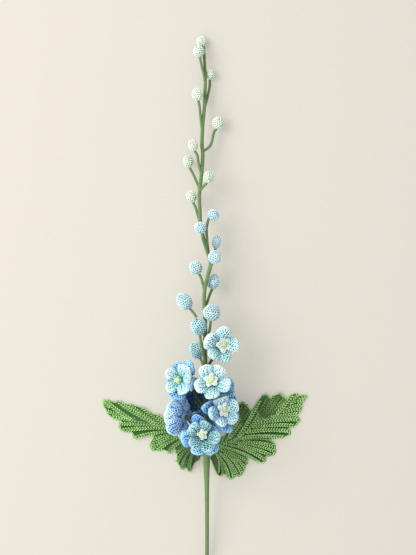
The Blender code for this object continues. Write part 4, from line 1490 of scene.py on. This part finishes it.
@dataclass(frozen=True)
class Leaf:
    """A crocheted leaf of two halves: ribs fan out from the midrib to round finger tips, in rows of stitches.

    Attributes:
        name: The leaf's name.
        midrib: Grid positions of its midrib, from the stalk to the point.
        starts: Where the outline of each half leaves the stalk.
        halves: The fingers of each half, from the stalk to the point.
        fall: How soon it comes down from the stem to the ground.
        seed: The seed of its draws.
        spread: How much wider it lies than its grid positions.
        centre: The grid position that it spreads from.
        root_lift: How high its midrib starts above the ground.
        flat: How high its middle sheet lies on the ground.
        groove_shades: How much painted shade the furrows between the ribs of each half take, from 0 to 1.
        web: Half the fabric's thickness in a groove.
        rib: How much a rib stands out from there.
        pitch: How far apart the ribs are at the tips.
        step: The length of a stitch along a rib.
        shadow: How dark the painted shadow on its yarn is near its stalk, from 0 to 1.
        shadow_area: The square of the distance from the stalk at which that has fallen to about a third.
        bow: How far a ray sets out along the midrib before it turns to its finger.
        arch: How strongly the middle sheet arches between the midrib and the edge, most at the stalk.
        held: How far into the first finger the sheet stays as high as the midrib, as a share of it.
        most_ribs: How many ribs a finger has at most.
        scallop: How deep the edge dips between two ribs, as half the depth.
        narrow: The width under which every other rib gives way.
        broad: The greatest width of a stitch.
        lean: How far the V's legs lean apart, and how much that differs.
        apart: How far each leg lies from the middle of its rib, as a share of the stitch's width.
        tilt: How far a leg rises towards its upper end.
        uneven: How much the legs' sizes differ.
        thickness: The least and the greatest radius of a leg.
        back_lean: How far the single legs on the back lean, to one side and the other by turns.
        folded: The curl past which a finger's fold takes painted shade.
        fold_heights: Heights in such a fold, as shares of its curl.
        fold_shades: The painted shade at each of them.
    """

    name: str
    midrib: tuple[Point, ...]
    starts: tuple[Point, Point]
    halves: tuple[tuple[Finger, ...], tuple[Finger, ...]]
    fall: float
    seed: int
    spread: float = 1.016
    centre: Point = (208.0, 277.5)
    root_lift: float = 26.5
    flat: float = 0.4
    groove_shades: tuple[float, float] = (0.35, 0.8)
    web: float = 0.4
    rib: float = 1.4
    pitch: float = 4.8
    step: float = 2.9
    shadow: float = 0.0
    shadow_area: float = 1300.0
    bow: float = 0.45
    arch: float = 1.6
    held: float = 0.25
    most_ribs: int = 5
    scallop: float = 0.45
    narrow: float = 1.9
    broad: float = 5.2
    lean: Point = (0.8, 0.16)
    apart: float = 0.24
    tilt: float = 0.22
    uneven: float = 0.08
    thickness: Point = (0.45, 0.8)
    back_lean: float = 0.7
    folded: float = 2.0
    fold_heights: tuple[float, ...] = (0.0, 0.5, 0.85, 1.0)
    fold_shades: tuple[float, ...] = (0.0, 0.6, 0.9, 0.1)

    def ground(self, u: float, v: float) -> Array:
        """Return a grid position on the ground, where the leaf spreads a little wider."""
        centre_u, centre_v = self.centre
        return on_grid(centre_u + (u - centre_u) * self.spread, centre_v + (v - centre_v) * self.spread)[:2]

    def midrib_points(self, foot: Array) -> Array:
        """Return the midrib's points on the ground at shares of its length."""
        line = smooth_path(np.array([self.ground(u, v) for u, v in self.midrib]), 1.0)
        return points_at(foot, np.linspace(0.0, 1.0, len(line)), line)

    def notches(self, half: Half) -> tuple[Array, Array]:
        """Return the outline's notches, the stalk's included, and their feet.

        Args:
            half: Which half.

        Returns:
            The notches on the ground and their feet on the midrib.
        """
        fingers = self.halves[half]
        points = [self.ground(*self.starts[half])] + [self.ground(*finger.notch) for finger in fingers]
        return np.array(points), np.array([0.0] + [finger.notch_foot for finger in fingers])

    def rib_counts(self, half: Half) -> Array:
        """Return how many ribs each finger has: its width across its middle rib over the pitch.

        Args:
            half: Which half.

        Returns:
            A whole number for each finger.
        """
        fingers = self.halves[half]
        notches, _ = self.notches(half)
        tips = np.array([self.ground(*finger.tip) for finger in fingers])
        way = unit(tips - self.midrib_points(np.array([finger.foot for finger in fingers])))
        chord = np.diff(notches, axis=0)
        width = np.abs(way[:, 0] * chord[:, 1] - way[:, 1] * chord[:, 0])
        return np.clip(np.round(width / self.pitch), 1, self.most_ribs).astype(int)

    def outline(self, half: Half, q: Array) -> tuple[Array, Array, Array]:
        """Find the outline of a half at finger numbers q, where whole numbers are notches.

        From a notch (x = 0) to the tip (x = 1) the line moves across the finger by x of the way and along it
        by (1 - (1 - x)^2)^0.8 of the way where its swell is 1, so that it has steep sides and a round tip, or
        by x where its swell is 0. Between its n ribs it dips by scallop (1 + cos(2 pi n s)).

        Args:
            half: Which half.
            q: Finger numbers.

        Returns:
            Points on the ground, feet on the midrib and curls.
        """
        fingers = self.halves[half]
        notches, notch_feet = self.notches(half)
        tips = np.array([self.ground(*finger.tip) for finger in fingers])
        feet = np.array([finger.foot for finger in fingers])
        index = np.clip(q.astype(int), 0, len(fingers) - 1)
        s = np.clip(q - index, 0.0, 1.0)
        x = (1 - np.abs(2 * s - 1))[..., None]
        rising = (s < 0.5)[..., None]
        notch = np.where(rising, notches[index], notches[index + 1])
        notch_foot = np.where(s < 0.5, notch_feet[index], notch_feet[index + 1])
        way = unit(tips - self.midrib_points(feet))[index]
        rest = tips[index] - notch
        ahead = np.sum(rest * way, axis=-1, keepdims=True) * way
        fullness = np.array([finger.swell for finger in fingers])[index][..., None]
        swell = x + fullness * ((1 - (1 - x) ** 2) ** 0.8 - x)
        ribs = self.rib_counts(half)[index]
        dip = self.scallop * (np.cos(2 * math.pi * ribs * s) + 1)
        dip = dip * np.minimum(1.0, 4 * x[..., 0]) * (ribs > 1)
        point = notch + ahead * swell + (rest - ahead) * x - dip[..., None] * way
        foot = notch_foot + (feet[index] - notch_foot) * x[..., 0]
        curl = np.array([finger.curl for finger in fingers])[index] * swell[..., 0]
        return point, foot, curl

    def sheet(self, half: Half, q: Array, t: Array) -> tuple[Array, Array]:
        """Find the middle sheet of a half.

        A ray bends from the midrib (t = 0) to the outline (t = 1): (1 - t)^2 start + 2 t (1 - t) bend +
        t^2 end, where the bend lies half the ray's length from its start, between the midrib's way and its
        own. With the foot f, its height is flat + (root_lift exp(-f / fall) + arch (1 - f) t (1 - t))
        (1 - t)^1.3, rises by the curl t^4 and is held up in the first finger by exp(-(q / held)^2).
        Ribs swell the fabric by 1/2 - 1/2 cos(2 pi n s), for n ribs in a finger.

        Args:
            half: Which half.
            q: Finger numbers.
            t: Shares of the ray.

        Returns:
            The points and how full the fabric is there, 1 on a rib and 0 in a groove.
        """
        point, foot, curl = self.outline(half, q)
        start = self.midrib_points(foot)
        near = 0.04
        ahead = unit(self.midrib_points(foot + near) - self.midrib_points(foot - near))
        reach = np.linalg.norm(point - start, axis=-1, keepdims=True)
        bend = start + 0.5 * reach * unit(self.bow * ahead + unit(point - start))
        t1 = t[..., None]
        where = (1 - t1) ** 2 * start + 2 * t1 * (1 - t1) * bend + t1**2 * point
        root = self.root_lift * np.exp(-foot / self.fall)
        held = np.exp(-((q / self.held) ** 2))
        fallen = held + (1 - held) * (1 - t) ** 1.3
        lift = self.flat + (root + self.arch * (1 - foot) * t * (1 - t)) * fallen + curl * t**4
        counts = self.rib_counts(half)[np.clip(q.astype(int), 0, len(self.halves[half]) - 1)]
        full = (0.5 - 0.5 * np.cos(2 * math.pi * counts * q)) * np.clip(t * 10, 0.0, 1.0)
        return np.concatenate([where, lift[..., None]], axis=-1), full

    def core(self, fabric: Fabric, half: Half) -> None:
        """Add the closed sheet under the stitches: front and back in rings across each ray.

        Args:
            fabric: The mesh that takes it.
            half: Which half.
        """
        count = len(self.halves[half])
        margin, rays, steps = 0.001, 16, 20
        q = np.linspace(margin, count - margin, count * rays + 1)
        t = 1 - (1 - np.linspace(0.0, 1.0, steps)) ** 1.25
        qs, ts = np.meshgrid(q, t, indexing="ij")
        middle, full = self.sheet(half, qs, ts)
        edge = np.sqrt(np.clip(1 - ts**10, 0.0, 1.0))
        thinnest, off_ground, least_front = 0.05, 0.02, 0.2
        rise = (self.web + self.rib * full) * edge + thinnest
        low = np.maximum(middle[..., 2] - rise, off_ground)
        high = np.maximum(low + rise + least_front, middle[..., 2] + rise)
        front = np.dstack([middle[..., :2], high])
        back = np.dstack([middle[..., :2], low])
        rings = np.concatenate([front, back[:, ::-1]], axis=1)
        points = np.vstack([rings[0].mean(axis=0)[None], rings.reshape(-1, 3), rings[-1].mean(axis=0)[None]])
        # Painted shade: the core's crest, and so its colour, falls in the furrows between the ribs.
        crest = 0.3 - 0.22 * self.groove_shades[half] * (1 - np.concatenate([full, full[:, ::-1]], axis=1).ravel())
        crest = np.concatenate([[0.1], crest, [0.1]])
        fabric.add_bodies(points[None], RingFaces(len(q), rings.shape[1]), crest, 0.5)

    def rib_row(self, half: Half, q0: float, odd: bool) -> tuple[Array, ...]:
        """Set out the stitches of one rib.

        Args:
            half: Which half.
            q0: The rib's finger number.
            odd: Whether it gives way where the ribs crowd.

        Returns:
            Places, directions along, across and up, widths and fullness, one row for each stitch.
        """
        fine = np.linspace(0.03, 0.95, 80)
        line, _ = self.sheet(half, np.full(len(fine), q0), fine)
        run = distance_along(line)
        number = max(2, int(round(run[-1] / self.step)))
        t = np.interp(shares(number) * run[-1], run, fine)
        q = np.full(number, q0)
        at, full = self.sheet(half, q, t)
        ahead, _ = self.sheet(half, q, t + 0.01)
        counts = self.rib_counts(half)[int(q0)]
        aside = 0.2
        left, _ = self.sheet(half, q - aside / counts, t)
        right, _ = self.sheet(half, q + aside / counts, t)
        along = unit(ahead - at)
        across = right - left
        across = across - along * np.sum(across * along, axis=1, keepdims=True)
        width = np.linalg.norm(across, axis=1) / (2 * aside)
        across = unit(across)
        up = unit(np.cross(along, across))
        up = up * np.where(up[:, 2:] < 0, -1.0, 1.0)
        crowded = width < self.narrow
        width = np.clip(np.where(crowded, 2 * width, width), self.narrow, self.broad)
        keep = ~(crowded & odd)
        return at[keep], along[keep], across[keep], up[keep], width[keep], full[keep]

    def darkness(self, finger: Finger, at: Array) -> Array:
        """Return the painted shade of a finger's stitches.

        It is the finger's own painted shade or, where its tip turns up, goes by the height in that fold. At
        the distance d from the stalk it is at least shadow exp(-d^2 / shadow_area), a painted shadow under
        the blooms.

        Args:
            finger: The finger.
            at: The stitches' places.

        Returns:
            A painted shade for each stitch.
        """
        dark = finger.shade
        if finger.curl > self.folded:
            dark = np.interp(at[:, 2] / finger.curl, self.fold_heights, self.fold_shades)
        away = np.sum((at[:, :2] - self.ground(*self.midrib[0])) ** 2, axis=1)
        return np.maximum(dark, self.shadow * np.exp(-away / self.shadow_area))

    def rib_stitches(self, fabric: Fabric, half: Half, draws: np.random.Generator) -> None:
        """Sew rows of V stitches along every rib on the front, and of single legs on the back.

        Args:
            fabric: The mesh that takes them.
            half: Which half.
            draws: Random numbers.
        """
        counts = self.rib_counts(half)
        ribs = [(finger + (k + 0.5) / count) for finger, count in enumerate(counts) for k in range(count)]
        for number, q0 in enumerate(ribs):
            at, along, across, up, width, full = self.rib_row(half, q0, number % 2 == 1)
            if not len(at):
                continue
            dark = self.darkness(self.halves[half][int(q0)], at)
            rise = (self.web + self.rib * full)[:, None]
            thick = np.clip(0.16 * width, *self.thickness)
            for hand in HANDS:
                lean = draws.normal(*self.lean, len(at))[:, None]
                size = draws.normal(1.0, self.uneven, len(at))
                where = at + (rise - 0.15 * thick[:, None]) * up + self.apart * hand * width[:, None] * across
                way = along + hand * lean * across + self.tilt * up
                tone = draws.random(len(at))
                STITCH.sew(fabric, where, way, up, 0.6 * self.step * size, thick * size, tone, dark)
            low = at - (rise - 0.5 * thick[:, None]) * up
            low[:, 2] = np.maximum(low[:, 2], 2.0 * thick)
            way = along + (self.back_lean if number % 2 else -self.back_lean) * across
            STITCH.sew(fabric, low, way, -up, 0.62 * self.step, 1.3 * thick, draws.random(len(at)))

    def edge_stitches(self, fabric: Fabric, half: Half, draws: np.random.Generator) -> None:
        """Sew a line of legs round the outline, a little inside it.

        Args:
            fabric: The mesh that takes them.
            half: Which half.
            draws: Random numbers.
        """
        count = len(self.halves[half])
        margin, steps, inside = 0.02, 40, 0.975
        q = np.linspace(margin, count - margin, count * steps)
        line, _ = self.sheet(half, q, np.full(len(q), inside))
        run = distance_along(line)
        number = int(run[-1] / self.step)
        at = points_at(shares(number) * run[-1], run, line)
        thick = 0.75
        at[:, 2] = np.maximum(at[:, 2] + 0.2, thick + 0.1)
        along = unit(np.gradient(at, axis=0))
        across = np.cross(along, Z_AXIS)
        up = np.tile(Z_AXIS, (number, 1))
        way = along + 0.1 * across * draws.normal(1.0, 0.3, number)[:, None]
        STITCH.sew(fabric, at, way, up, 0.9 * self.step, thick, draws.random(number))

    def midrib_stitches(self, fabric: Fabric, draws: np.random.Generator) -> None:
        """Sew a chain along the midrib, over the seam of the two halves.

        Args:
            fabric: The mesh that takes them.
            draws: Random numbers.
        """
        fine = self.midrib_points(np.linspace(0.0, 1.0, 200))
        number = int(distance_along(fine)[-1] / self.step)
        foot = shares(number)
        lift = self.flat + self.root_lift * np.exp(-foot / self.fall)
        at = np.column_stack([self.midrib_points(foot), lift])
        along = unit(np.gradient(at, axis=0))
        across = unit(np.cross(along, Z_AXIS))
        up = np.cross(across, along)
        apart, off_seam, lean, thick, lowest = 0.5, 0.7, 0.5, 0.52, 0.8
        for face in (1.0, -1.0):
            for hand in HANDS:
                where = at + apart * hand * across + face * off_seam * up
                where[:, 2] = np.maximum(where[:, 2], lowest)
                way = along + lean * hand * across
                STITCH.sew(fabric, where, way, face * up, 0.5 * self.step, thick, draws.random(number))

    def build(self) -> None:
        """Crochet the leaf."""
        fabric = Fabric()
        draws = np.random.default_rng(self.seed)
        for half in Half:
            self.core(fabric, half)
            self.rib_stitches(fabric, half, draws)
            self.edge_stitches(fabric, half, draws)
        self.midrib_stitches(fabric, draws)
        fabric.bend(off_floor)
        place(fabric.make(f"{self.name}_yarn", LEAF_YARN.material()), LEAF_YARN, self.name)


STEM = Stem()
BUDS = (
    Bud(1, (201.7, 38.1), 4.96, 9.6, 10.2, -20.0, 0.0, ((203.9, 46.0),)),
    Bud(2, (198.7, 49.3), 12.9, 11.0, 11.0, -11.0, 0.0, ((201.5, 63.0), (204.0, 73.0), (205.0, 80.0))),
    Bud(3, (210.5, 71.4), 5.5, 8.3, 10.5, 5.0, 0.1, ((209.5, 85.0), (207.0, 97.0), (204.4, 106.0))),
    Bud(4, (197.4, 92.7), 16.0, 10.5, 12.5, -8.0, 0.1, ((199.5, 105.0), (200.5, 115.0), (202.2, 130.0))),
    Bud(5, (218.2, 121.0), 9.5, 10.8, 12.0, 18.0, 0.0, ((214.0, 131.0), (210.5, 144.0), (202.6, 151.0))),
    Bud(6, (193.1, 145.0), 22.0, 9.2, 11.0, -18.0, 0.0, ((197.3, 155.0), (198.5, 162.0), (201.4, 174.0))),
    Bud(7, (188.2, 160.3), 12.5, 10.2, 12.0, -14.0, 0.0, ((193.0, 173.0), (196.5, 181.0), (199.8, 189.0))),
    Bud(8, (208.8, 176.9), 26.0, 10.2, 11.8, 20.0, 0.0, ((204.0, 185.5), (199.7, 190.5))),
    Bud(9, (191.4, 195.7), 15.0, 10.2, 12.0, -16.0, 0.0, ((195.5, 207.0), (197.8, 215.0), (200.5, 224.0))),
    Bud(10, (213.4, 215.0), 28.0, 11.5, 10.0, 50.0, 0.0, ((207.7, 222.0), (206.6, 232.0), (208.8, 256.0))),
    Bud(11, (200.5, 228.1), 33.0, 11.2, 11.5, -15.0, 0.0, ((203.0, 240.0), (206.5, 250.0), (210.0, 260.0))),
    Bud(12, (216.6, 241.4), 18.0, 8.9, 13.4, 8.0, 0.35, ((214.5, 252.0), (213.0, 259.0), (210.3, 266.0))),
    Bud(13, (214.8, 257.2), 34.0, 12.5, 13.0, 22.0, 0.0, ((210.5, 268.0), (207.8, 276.0))),
    Bud(14, (195.8, 267.7), 20.0, 12.0, 13.7, -28.0, 0.0, ((201.5, 279.0), (203.0, 285.0), (204.6, 292.0))),
    Bud(15, (213.4, 281.5), 16.5, 12.4, 15.0, 10.0, 0.1, ((210.0, 294.0), (207.0, 303.0), (204.7, 312.0))),
    Bud(16, (184.3, 301.4), 22.0, 14.0, 18.0, -38.0, 0.1, ((195.0, 315.0), (200.0, 326.0), (205.0, 338.0))),
    Bud(17, (211.9, 312.3), 38.5, 16.3, 16.3, 8.0, 0.0, ((210.0, 327.0), (207.8, 338.0), (204.9, 352.0))),
    Bud(18, (198.8, 326.0), 40.0, 15.3, 17.5, -8.0, 0.05, ((201.0, 342.0), (203.2, 352.0), (205.3, 362.0))),
    Bud(19, (196.5, 350.8), 13.5, 14.0, 17.0, -25.0, 0.0, ((202.0, 363.0), (205.6, 372.0))),
)
GROUND = ((0.0, 0.0, 0.0), (0.0, 0.0, -1.0))
BLOOMS = (
    Bloom(1, (222.2, 345.0), 50.0, (0.35, 0.05, 0.93), 80.0, 0.98, False,
          ((14.5, -34.0, 36.0), (7.0, -44.0, 31.5), (1.0, -55.0, 29.0)), heart=1.15,
          inner_petals=(Petal(8.0, -1.2, 1.0, 5.0), Petal(86.0, 0.8, 1.0, 5.0), Petal(160.0, 0.8, 1.1),
                        Petal(222.0, 0.3, 1.05), Petal(284.0, -0.3)),
          seat=(2.0, 1.3), stripe=(50.0, 1.05)),
    Bloom(2, (212.5, 379.3), 62.0, (0.05, 0.10, 1.00), 55.0, 1.0, False,
          ((7.6, -67.0, 46.0), (5.0, -77.0, 36.0), (1.7, -88.0, 29.0)),
          seat=(-1.5, 2.0), stripe=(30.0, 1.35)),
    Bloom(3, (179.1, 378.0), 50.0, (-0.50, 0.05, 0.86), 34.0, 0.9, True,
          ((-13.0, -73.0, 34.5), (-4.5, -86.0, 31.0), (1.9, -95.0, 29.0)),
          heart=0.65, heart_yarn=SHADED_HEART_YARN,
          inner_petals=(Petal(2.0, -0.5, 0.8), Petal(60.0, -0.5, 1.2), Petal(149.0, 0.0, 0.85, 3.0),
                        Petal(221.0, 1.0, 0.9), Petal(297.0, -1.5, 1.15)),
          outer_petals=(Petal(-15.0, 1.0), Petal(45.0, 2.0, 1.15), Petal(115.0, -3.0, 0.8),
                        Petal(185.0, -4.0, 0.8), Petal(252.0, 2.5, 1.25)),
          seat=(-2.2, -0.5), stripe=(0.0, 1.2)),
    Bloom(4, (224.0, 407.8), 58.0, (0.50, 0.12, 0.86), 116.0, 0.95, True,
          ((8.5, -103.0, 40.0), (5.0, -111.0, 34.0), (2.0, -120.0, 29.0)), inner=MIXED_YARN, heart=1.1,
          inner_petals=(Petal(22.0, -0.5, 1.05, 2.0), Petal(102.0, -0.5, 1.15),
                        Petal(190.0, 1.5, 1.15, tip=0.45), Petal(251.0, -0.5), Petal(320.0)),
          outer_petals=(Petal(-20.0, -1.0), Petal(45.0, 0.0, 0.9), Petal(100.0, -1.0, 0.9),
                        Petal(160.0, 1.8, 1.2, tip=0.4), Petal(276.0, 1.5, 1.3)),
          seat=(0.5, 1.5), stripe=(40.0, 1.0)),
    Bloom(5, (202.8, 432.6), 62.0, (0.10, -0.05, 0.99), 75.0, 0.92, True,
          ((-3.5, -118.0, 44.5), (-1.0, -124.0, 36.0), (2.1, -133.0, 28.0)), inner=SHADED_TEAL_YARN, heart=0.8,
          inner_petals=(Petal(-4.0, 1.0, 0.95, 4.0), Petal(70.0, 0.0, 0.9), Petal(140.0, -0.5, 1.1),
                        Petal(226.0, -1.0, 1.1), Petal(302.0)),
          outer_petals=(Petal(25.0, 0.0, 0.9), Petal(98.0, 1.5, 1.15, tip=0.5), Petal(188.0, 0.0, 1.15),
                        Petal(251.0, -0.5), Petal(311.0, 0.5, 1.05)),
          seat=(0.0, 2.0), stripe=(20.0, 0.75)),
    Bloom(6, (175.5, 416.5), 33.0, (-0.80, -0.05, -0.55), 36.0, 1.0, True,
          ((-12.0, -104.5, 42.0), (-5.5, -112.0, 36.5), (2.0, -124.0, 29.0)),
          (((0.0, 0.0, 8.0), (0.0, 0.0, -1.0)),), outer=VIOLET_YARN),
    Bloom(7, (190.0, 399.0), 12.0, (-0.45, 0.15, -0.88), 20.0, 0.95, True,
          ((-5.5, -90.5, 27.6), (-2.0, -95.0, 28.6), (1.9, -101.0, 29.0)), (GROUND,), outer=NAVY_YARN),
    Bloom(8, (225.0, 391.0), 18.0, (0.60, 0.25, -0.75), 65.0, 0.85, True,
          ((9.5, -83.0, 29.6), (6.0, -87.0, 29.4), (1.9, -95.0, 29.0)),
          (GROUND, ((34.0, 0.0, 0.0), (1.0, 0.0, 0.0)))),
    Bloom(9, (207.0, 424.0), 6.5, (0.10, -0.20, -0.97), 90.0, 0.85, True,
          ((1.5, -109.0, 23.0), (1.8, -112.0, 26.0), (2.0, -116.0, 29.0)),
          (GROUND, ((0.0, -129.0, 0.0), (0.0, -1.0, 0.0)))),
)
RIGHT_LEAF = Leaf(
    "leaf_right",
    ((212.5, 449.0), (222.0, 443.0), (233.0, 439.0), (243.0, 433.4), (250.0, 428.2), (263.5, 419.8),
     (281.5, 411.9), (293.0, 403.5), (306.4, 396.6)),
    ((210.0, 444.5), (210.0, 454.6)),
    ((
        Finger((223.3, 436.6), 0.01, (226.5, 436.0), 0.03),
        Finger((238.4, 401.8), 0.06, (242.4, 401.4), 0.08, 7.0),
        Finger((247.4, 403.6), 0.10, (250.4, 412.4), 0.14, 7.0),
        Finger((260.4, 397.6), 0.25, (263.0, 395.6), 0.28, 2.0, 0.4),
        Finger((266.6, 393.0), 0.32, (270.2, 399.2), 0.39, 4.0),
        Finger((281.2, 392.6), 0.50, (286.4, 399.2), 0.60, 4.5),
        Finger((297.0, 392.4), 0.74, (300.2, 395.6), 0.82, 0.0, 0.7),
        Finger((306.6, 396.0), 0.92, (306.4, 397.4), 0.97),
    ), (
        Finger((219.8, 477.2), 0.005, (224.2, 473.6), 0.01),
        Finger((231.8, 480.4), 0.015, (235.8, 476.2), 0.025),
        Finger((240.6, 477.2), 0.03, (244.2, 472.0), 0.04, 0.0, 0.7),
        Finger((248.2, 463.8), 0.05, (245.6, 456.8), 0.07),
        Finger((265.0, 463.8), 0.10, (266.8, 457.2), 0.13),
        Finger((276.0, 454.2), 0.15, (276.4, 449.6), 0.17, 0.0, 0.7),
        Finger((276.0, 443.6), 0.19, (263.6, 440.4), 0.22),
        Finger((291.8, 434.0), 0.29, (289.0, 429.2), 0.38),
        Finger((300.6, 420.2), 0.47, (296.4, 416.8), 0.58),
        Finger((302.6, 408.6), 0.70, (302.9, 402.0), 0.82, 0.0, 0.4),
        Finger((304.8, 400.0), 0.90, (306.4, 398.0), 0.97, 0.0, 0.4),
    )),
    0.28,
    201,
)
LEFT_LEAF = Leaf(
    "leaf_left",
    ((200.2, 448.0), (190.0, 440.0), (176.0, 431.5), (160.0, 426.0), (145.0, 423.2), (130.0, 419.4),
     (119.4, 414.4), (110.0, 407.5), (103.0, 401.0)),
    ((203.0, 443.8), (203.0, 452.6)),
    ((
        Finger((184.0, 431.0), 0.06, (172.5, 425.0), 0.14, 0.0, 0.4),
        Finger((156.0, 414.4), 0.22, (150.5, 412.8), 0.25, 0.0, 0.4),
        Finger((140.0, 406.4), 0.28, (134.0, 404.8), 0.31, 0.0, 0.4),
        Finger((127.0, 403.6), 0.34, (121.0, 402.0), 0.38, 0.0, 0.4),
        Finger((116.8, 400.4), 0.43, (113.0, 401.8), 0.50, 0.0, 0.7),
        Finger((104.4, 399.6), 0.68, (102.8, 400.6), 0.97, 0.0, 0.7),
    ), (
        Finger((198.6, 459.0), 0.005, (193.4, 465.6), 0.01, 0.0, 0.4, 0.8),
        Finger((189.6, 472.4), 0.02, (185.8, 467.0), 0.03, shade=0.7),
        Finger((181.6, 470.6), 0.045, (176.6, 458.0), 0.06, 0.0, 0.8, 0.4),
        Finger((175.0, 452.0), 0.08, (175.2, 448.2), 0.10, 0.0, 0.4),
        Finger((167.8, 454.0), 0.14, (162.6, 450.2), 0.17),
        Finger((150.4, 450.4), 0.20, (149.0, 444.0), 0.22, 0.0, 0.7),
        Finger((151.6, 437.6), 0.23, (156.4, 434.9), 0.25),
        Finger((133.0, 438.8), 0.27, (131.6, 432.8), 0.29),
        Finger((120.0, 430.6), 0.32, (118.2, 426.6), 0.34, 0.0, 0.7),
        Finger((118.8, 423.8), 0.37, (121.0, 421.8), 0.40, 0.0, 0.7),
        Finger((105.6, 413.0), 0.50, (103.8, 407.6), 0.64, 0.0, 0.7),
        Finger((102.8, 402.8), 0.85, (102.6, 401.4), 0.97, 0.0, 0.7),
    )),
    0.13,
    202,
    shadow=1.0,
)


@dataclass(frozen=True)
class Lamp:
    """One square soft lamp that shines at the middle of the spike.

    Attributes:
        name: Its name.
        place: Where it hangs, in metres.
        side: Its side, in metres.
        power: Its power in watts.
        colour: Its light's colour.
    """

    name: str
    place: Vec
    side: float
    power: float
    colour: Vec

    def hang(self) -> None:
        """Hang it and turn it to the spike."""
        light = bpy.data.lights.new(self.name, "AREA")
        light.shape = "SQUARE"
        light.size = self.side
        light.energy = self.power
        light.color = self.colour
        lamp = bpy.data.objects.new(self.name, light)
        lamp.location = self.place
        aim = Vector((0.0, 0.0, 0.0)) - lamp.location
        lamp.rotation_euler = aim.to_track_quat("-Z", "Y").to_euler()
        bpy.context.scene.collection.objects.link(lamp)


@dataclass(frozen=True)
class Studio:
    """The pale floor, the soft lights and the camera that looks straight down.

    Attributes:
        lens: The camera's lens.
        sensor: The sensor's long side, in the same unit.
        view: The length of the spike that the picture's long side takes in, in millimetres.
        focus: The height at which it does.
        aim: Where the camera looks.
        side: Half the floor's side, in metres.
        floor_colour: The floor's colour.
        floor_glow: How much it glows with that colour, which keeps it even.
        lamps: The lamps.
        sky: The colour of the light from all round.
        sky_strength: How strong that is.
    """

    lens: float = 90.0
    sensor: float = 36.0
    view: float = 582.75
    focus: float = 27.0
    aim: Point = (3.7, 43.3)
    side: float = 3.0
    floor_colour: Colour = (0.302, 0.289, 0.257, 1.0)
    floor_glow: float = 1.0
    lamps: tuple[Lamp, ...] = (
        Lamp("key_light", (-1.35, 0.65, 1.35), 1.4, 45.0, (1.0, 0.98, 0.95)),
        Lamp("fill_light", (-1.2, -1.0, 1.4), 1.8, 19.0, (1.0, 0.99, 0.97)),
    )
    sky: Colour = (0.98, 0.98, 1.0, 1.0)
    sky_strength: float = 0.86

    def floor(self) -> None:
        """Lay a plain pale floor."""
        graph = Graph("studio_floor")
        graph.set(base_color=self.floor_colour, roughness=0.9, specular_IOR_level=0.1)
        graph.set(emission_color=self.floor_colour, emission_strength=self.floor_glow)
        mesh = bpy.data.meshes.new("studio_floor")
        square = [(x * self.side, y * self.side, 0.0) for x, y in ((-1, -1), (1, -1), (1, 1), (-1, 1))]
        mesh.from_pydata(square, [], [(0, 1, 2, 3)])
        mesh.materials.append(graph.material)
        floor = bpy.data.objects.new("studio_floor", mesh)
        bpy.context.scene.collection.objects.link(floor)
        floor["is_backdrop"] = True

    def camera(self) -> None:
        """Hang the camera over the middle of the view, its top towards the stem's tip."""
        data = bpy.data.cameras.new("studio_camera")
        data.lens = self.lens
        data.sensor_width = self.sensor
        data.sensor_fit = "AUTO"
        camera = bpy.data.objects.new("studio_camera", data)
        away = self.view * self.lens / self.sensor
        camera.location = (self.aim[0] * MM, self.aim[1] * MM, (away + self.focus) * MM)
        data.clip_end = 10.0
        bpy.context.scene.collection.objects.link(camera)
        bpy.context.scene.camera = camera

    def build(self) -> None:
        """Set up the studio."""
        self.floor()
        self.camera()
        for lamp in self.lamps:
            lamp.hang()
        world = bpy.data.worlds.new("studio_world")
        world.use_nodes = True
        background = world.node_tree.nodes["Background"]
        background.inputs["Color"].default_value = self.sky
        background.inputs["Strength"].default_value = self.sky_strength
        bpy.context.scene.world = world
        bpy.context.scene.view_settings.view_transform = "Standard"


def corners() -> list[list[float]]:
    """Return the shown object's box as two lists of numbers."""
    return [list(corner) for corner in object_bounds()]


def main() -> None:
    """Load the frame, crochet every piece round it and set up the studio."""
    logging.basicConfig(level=logging.INFO, format="%(message)s")
    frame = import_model()
    Studio().build()
    STEM.build(BUDS, BLOOMS)
    wire = frame["nodes"]["stem_wire"]
    wire.data.materials.clear()
    wire.data.materials.append(Steel().material())
    for bud in BUDS:
        bud.build()
    for bloom in BLOOMS:
        bloom.build(BLOOMS, STEM)
    RIGHT_LEAF.build()
    LEFT_LEAF.build()
    bpy.context.view_layer.update()


if __name__ == "__main__":
    main()
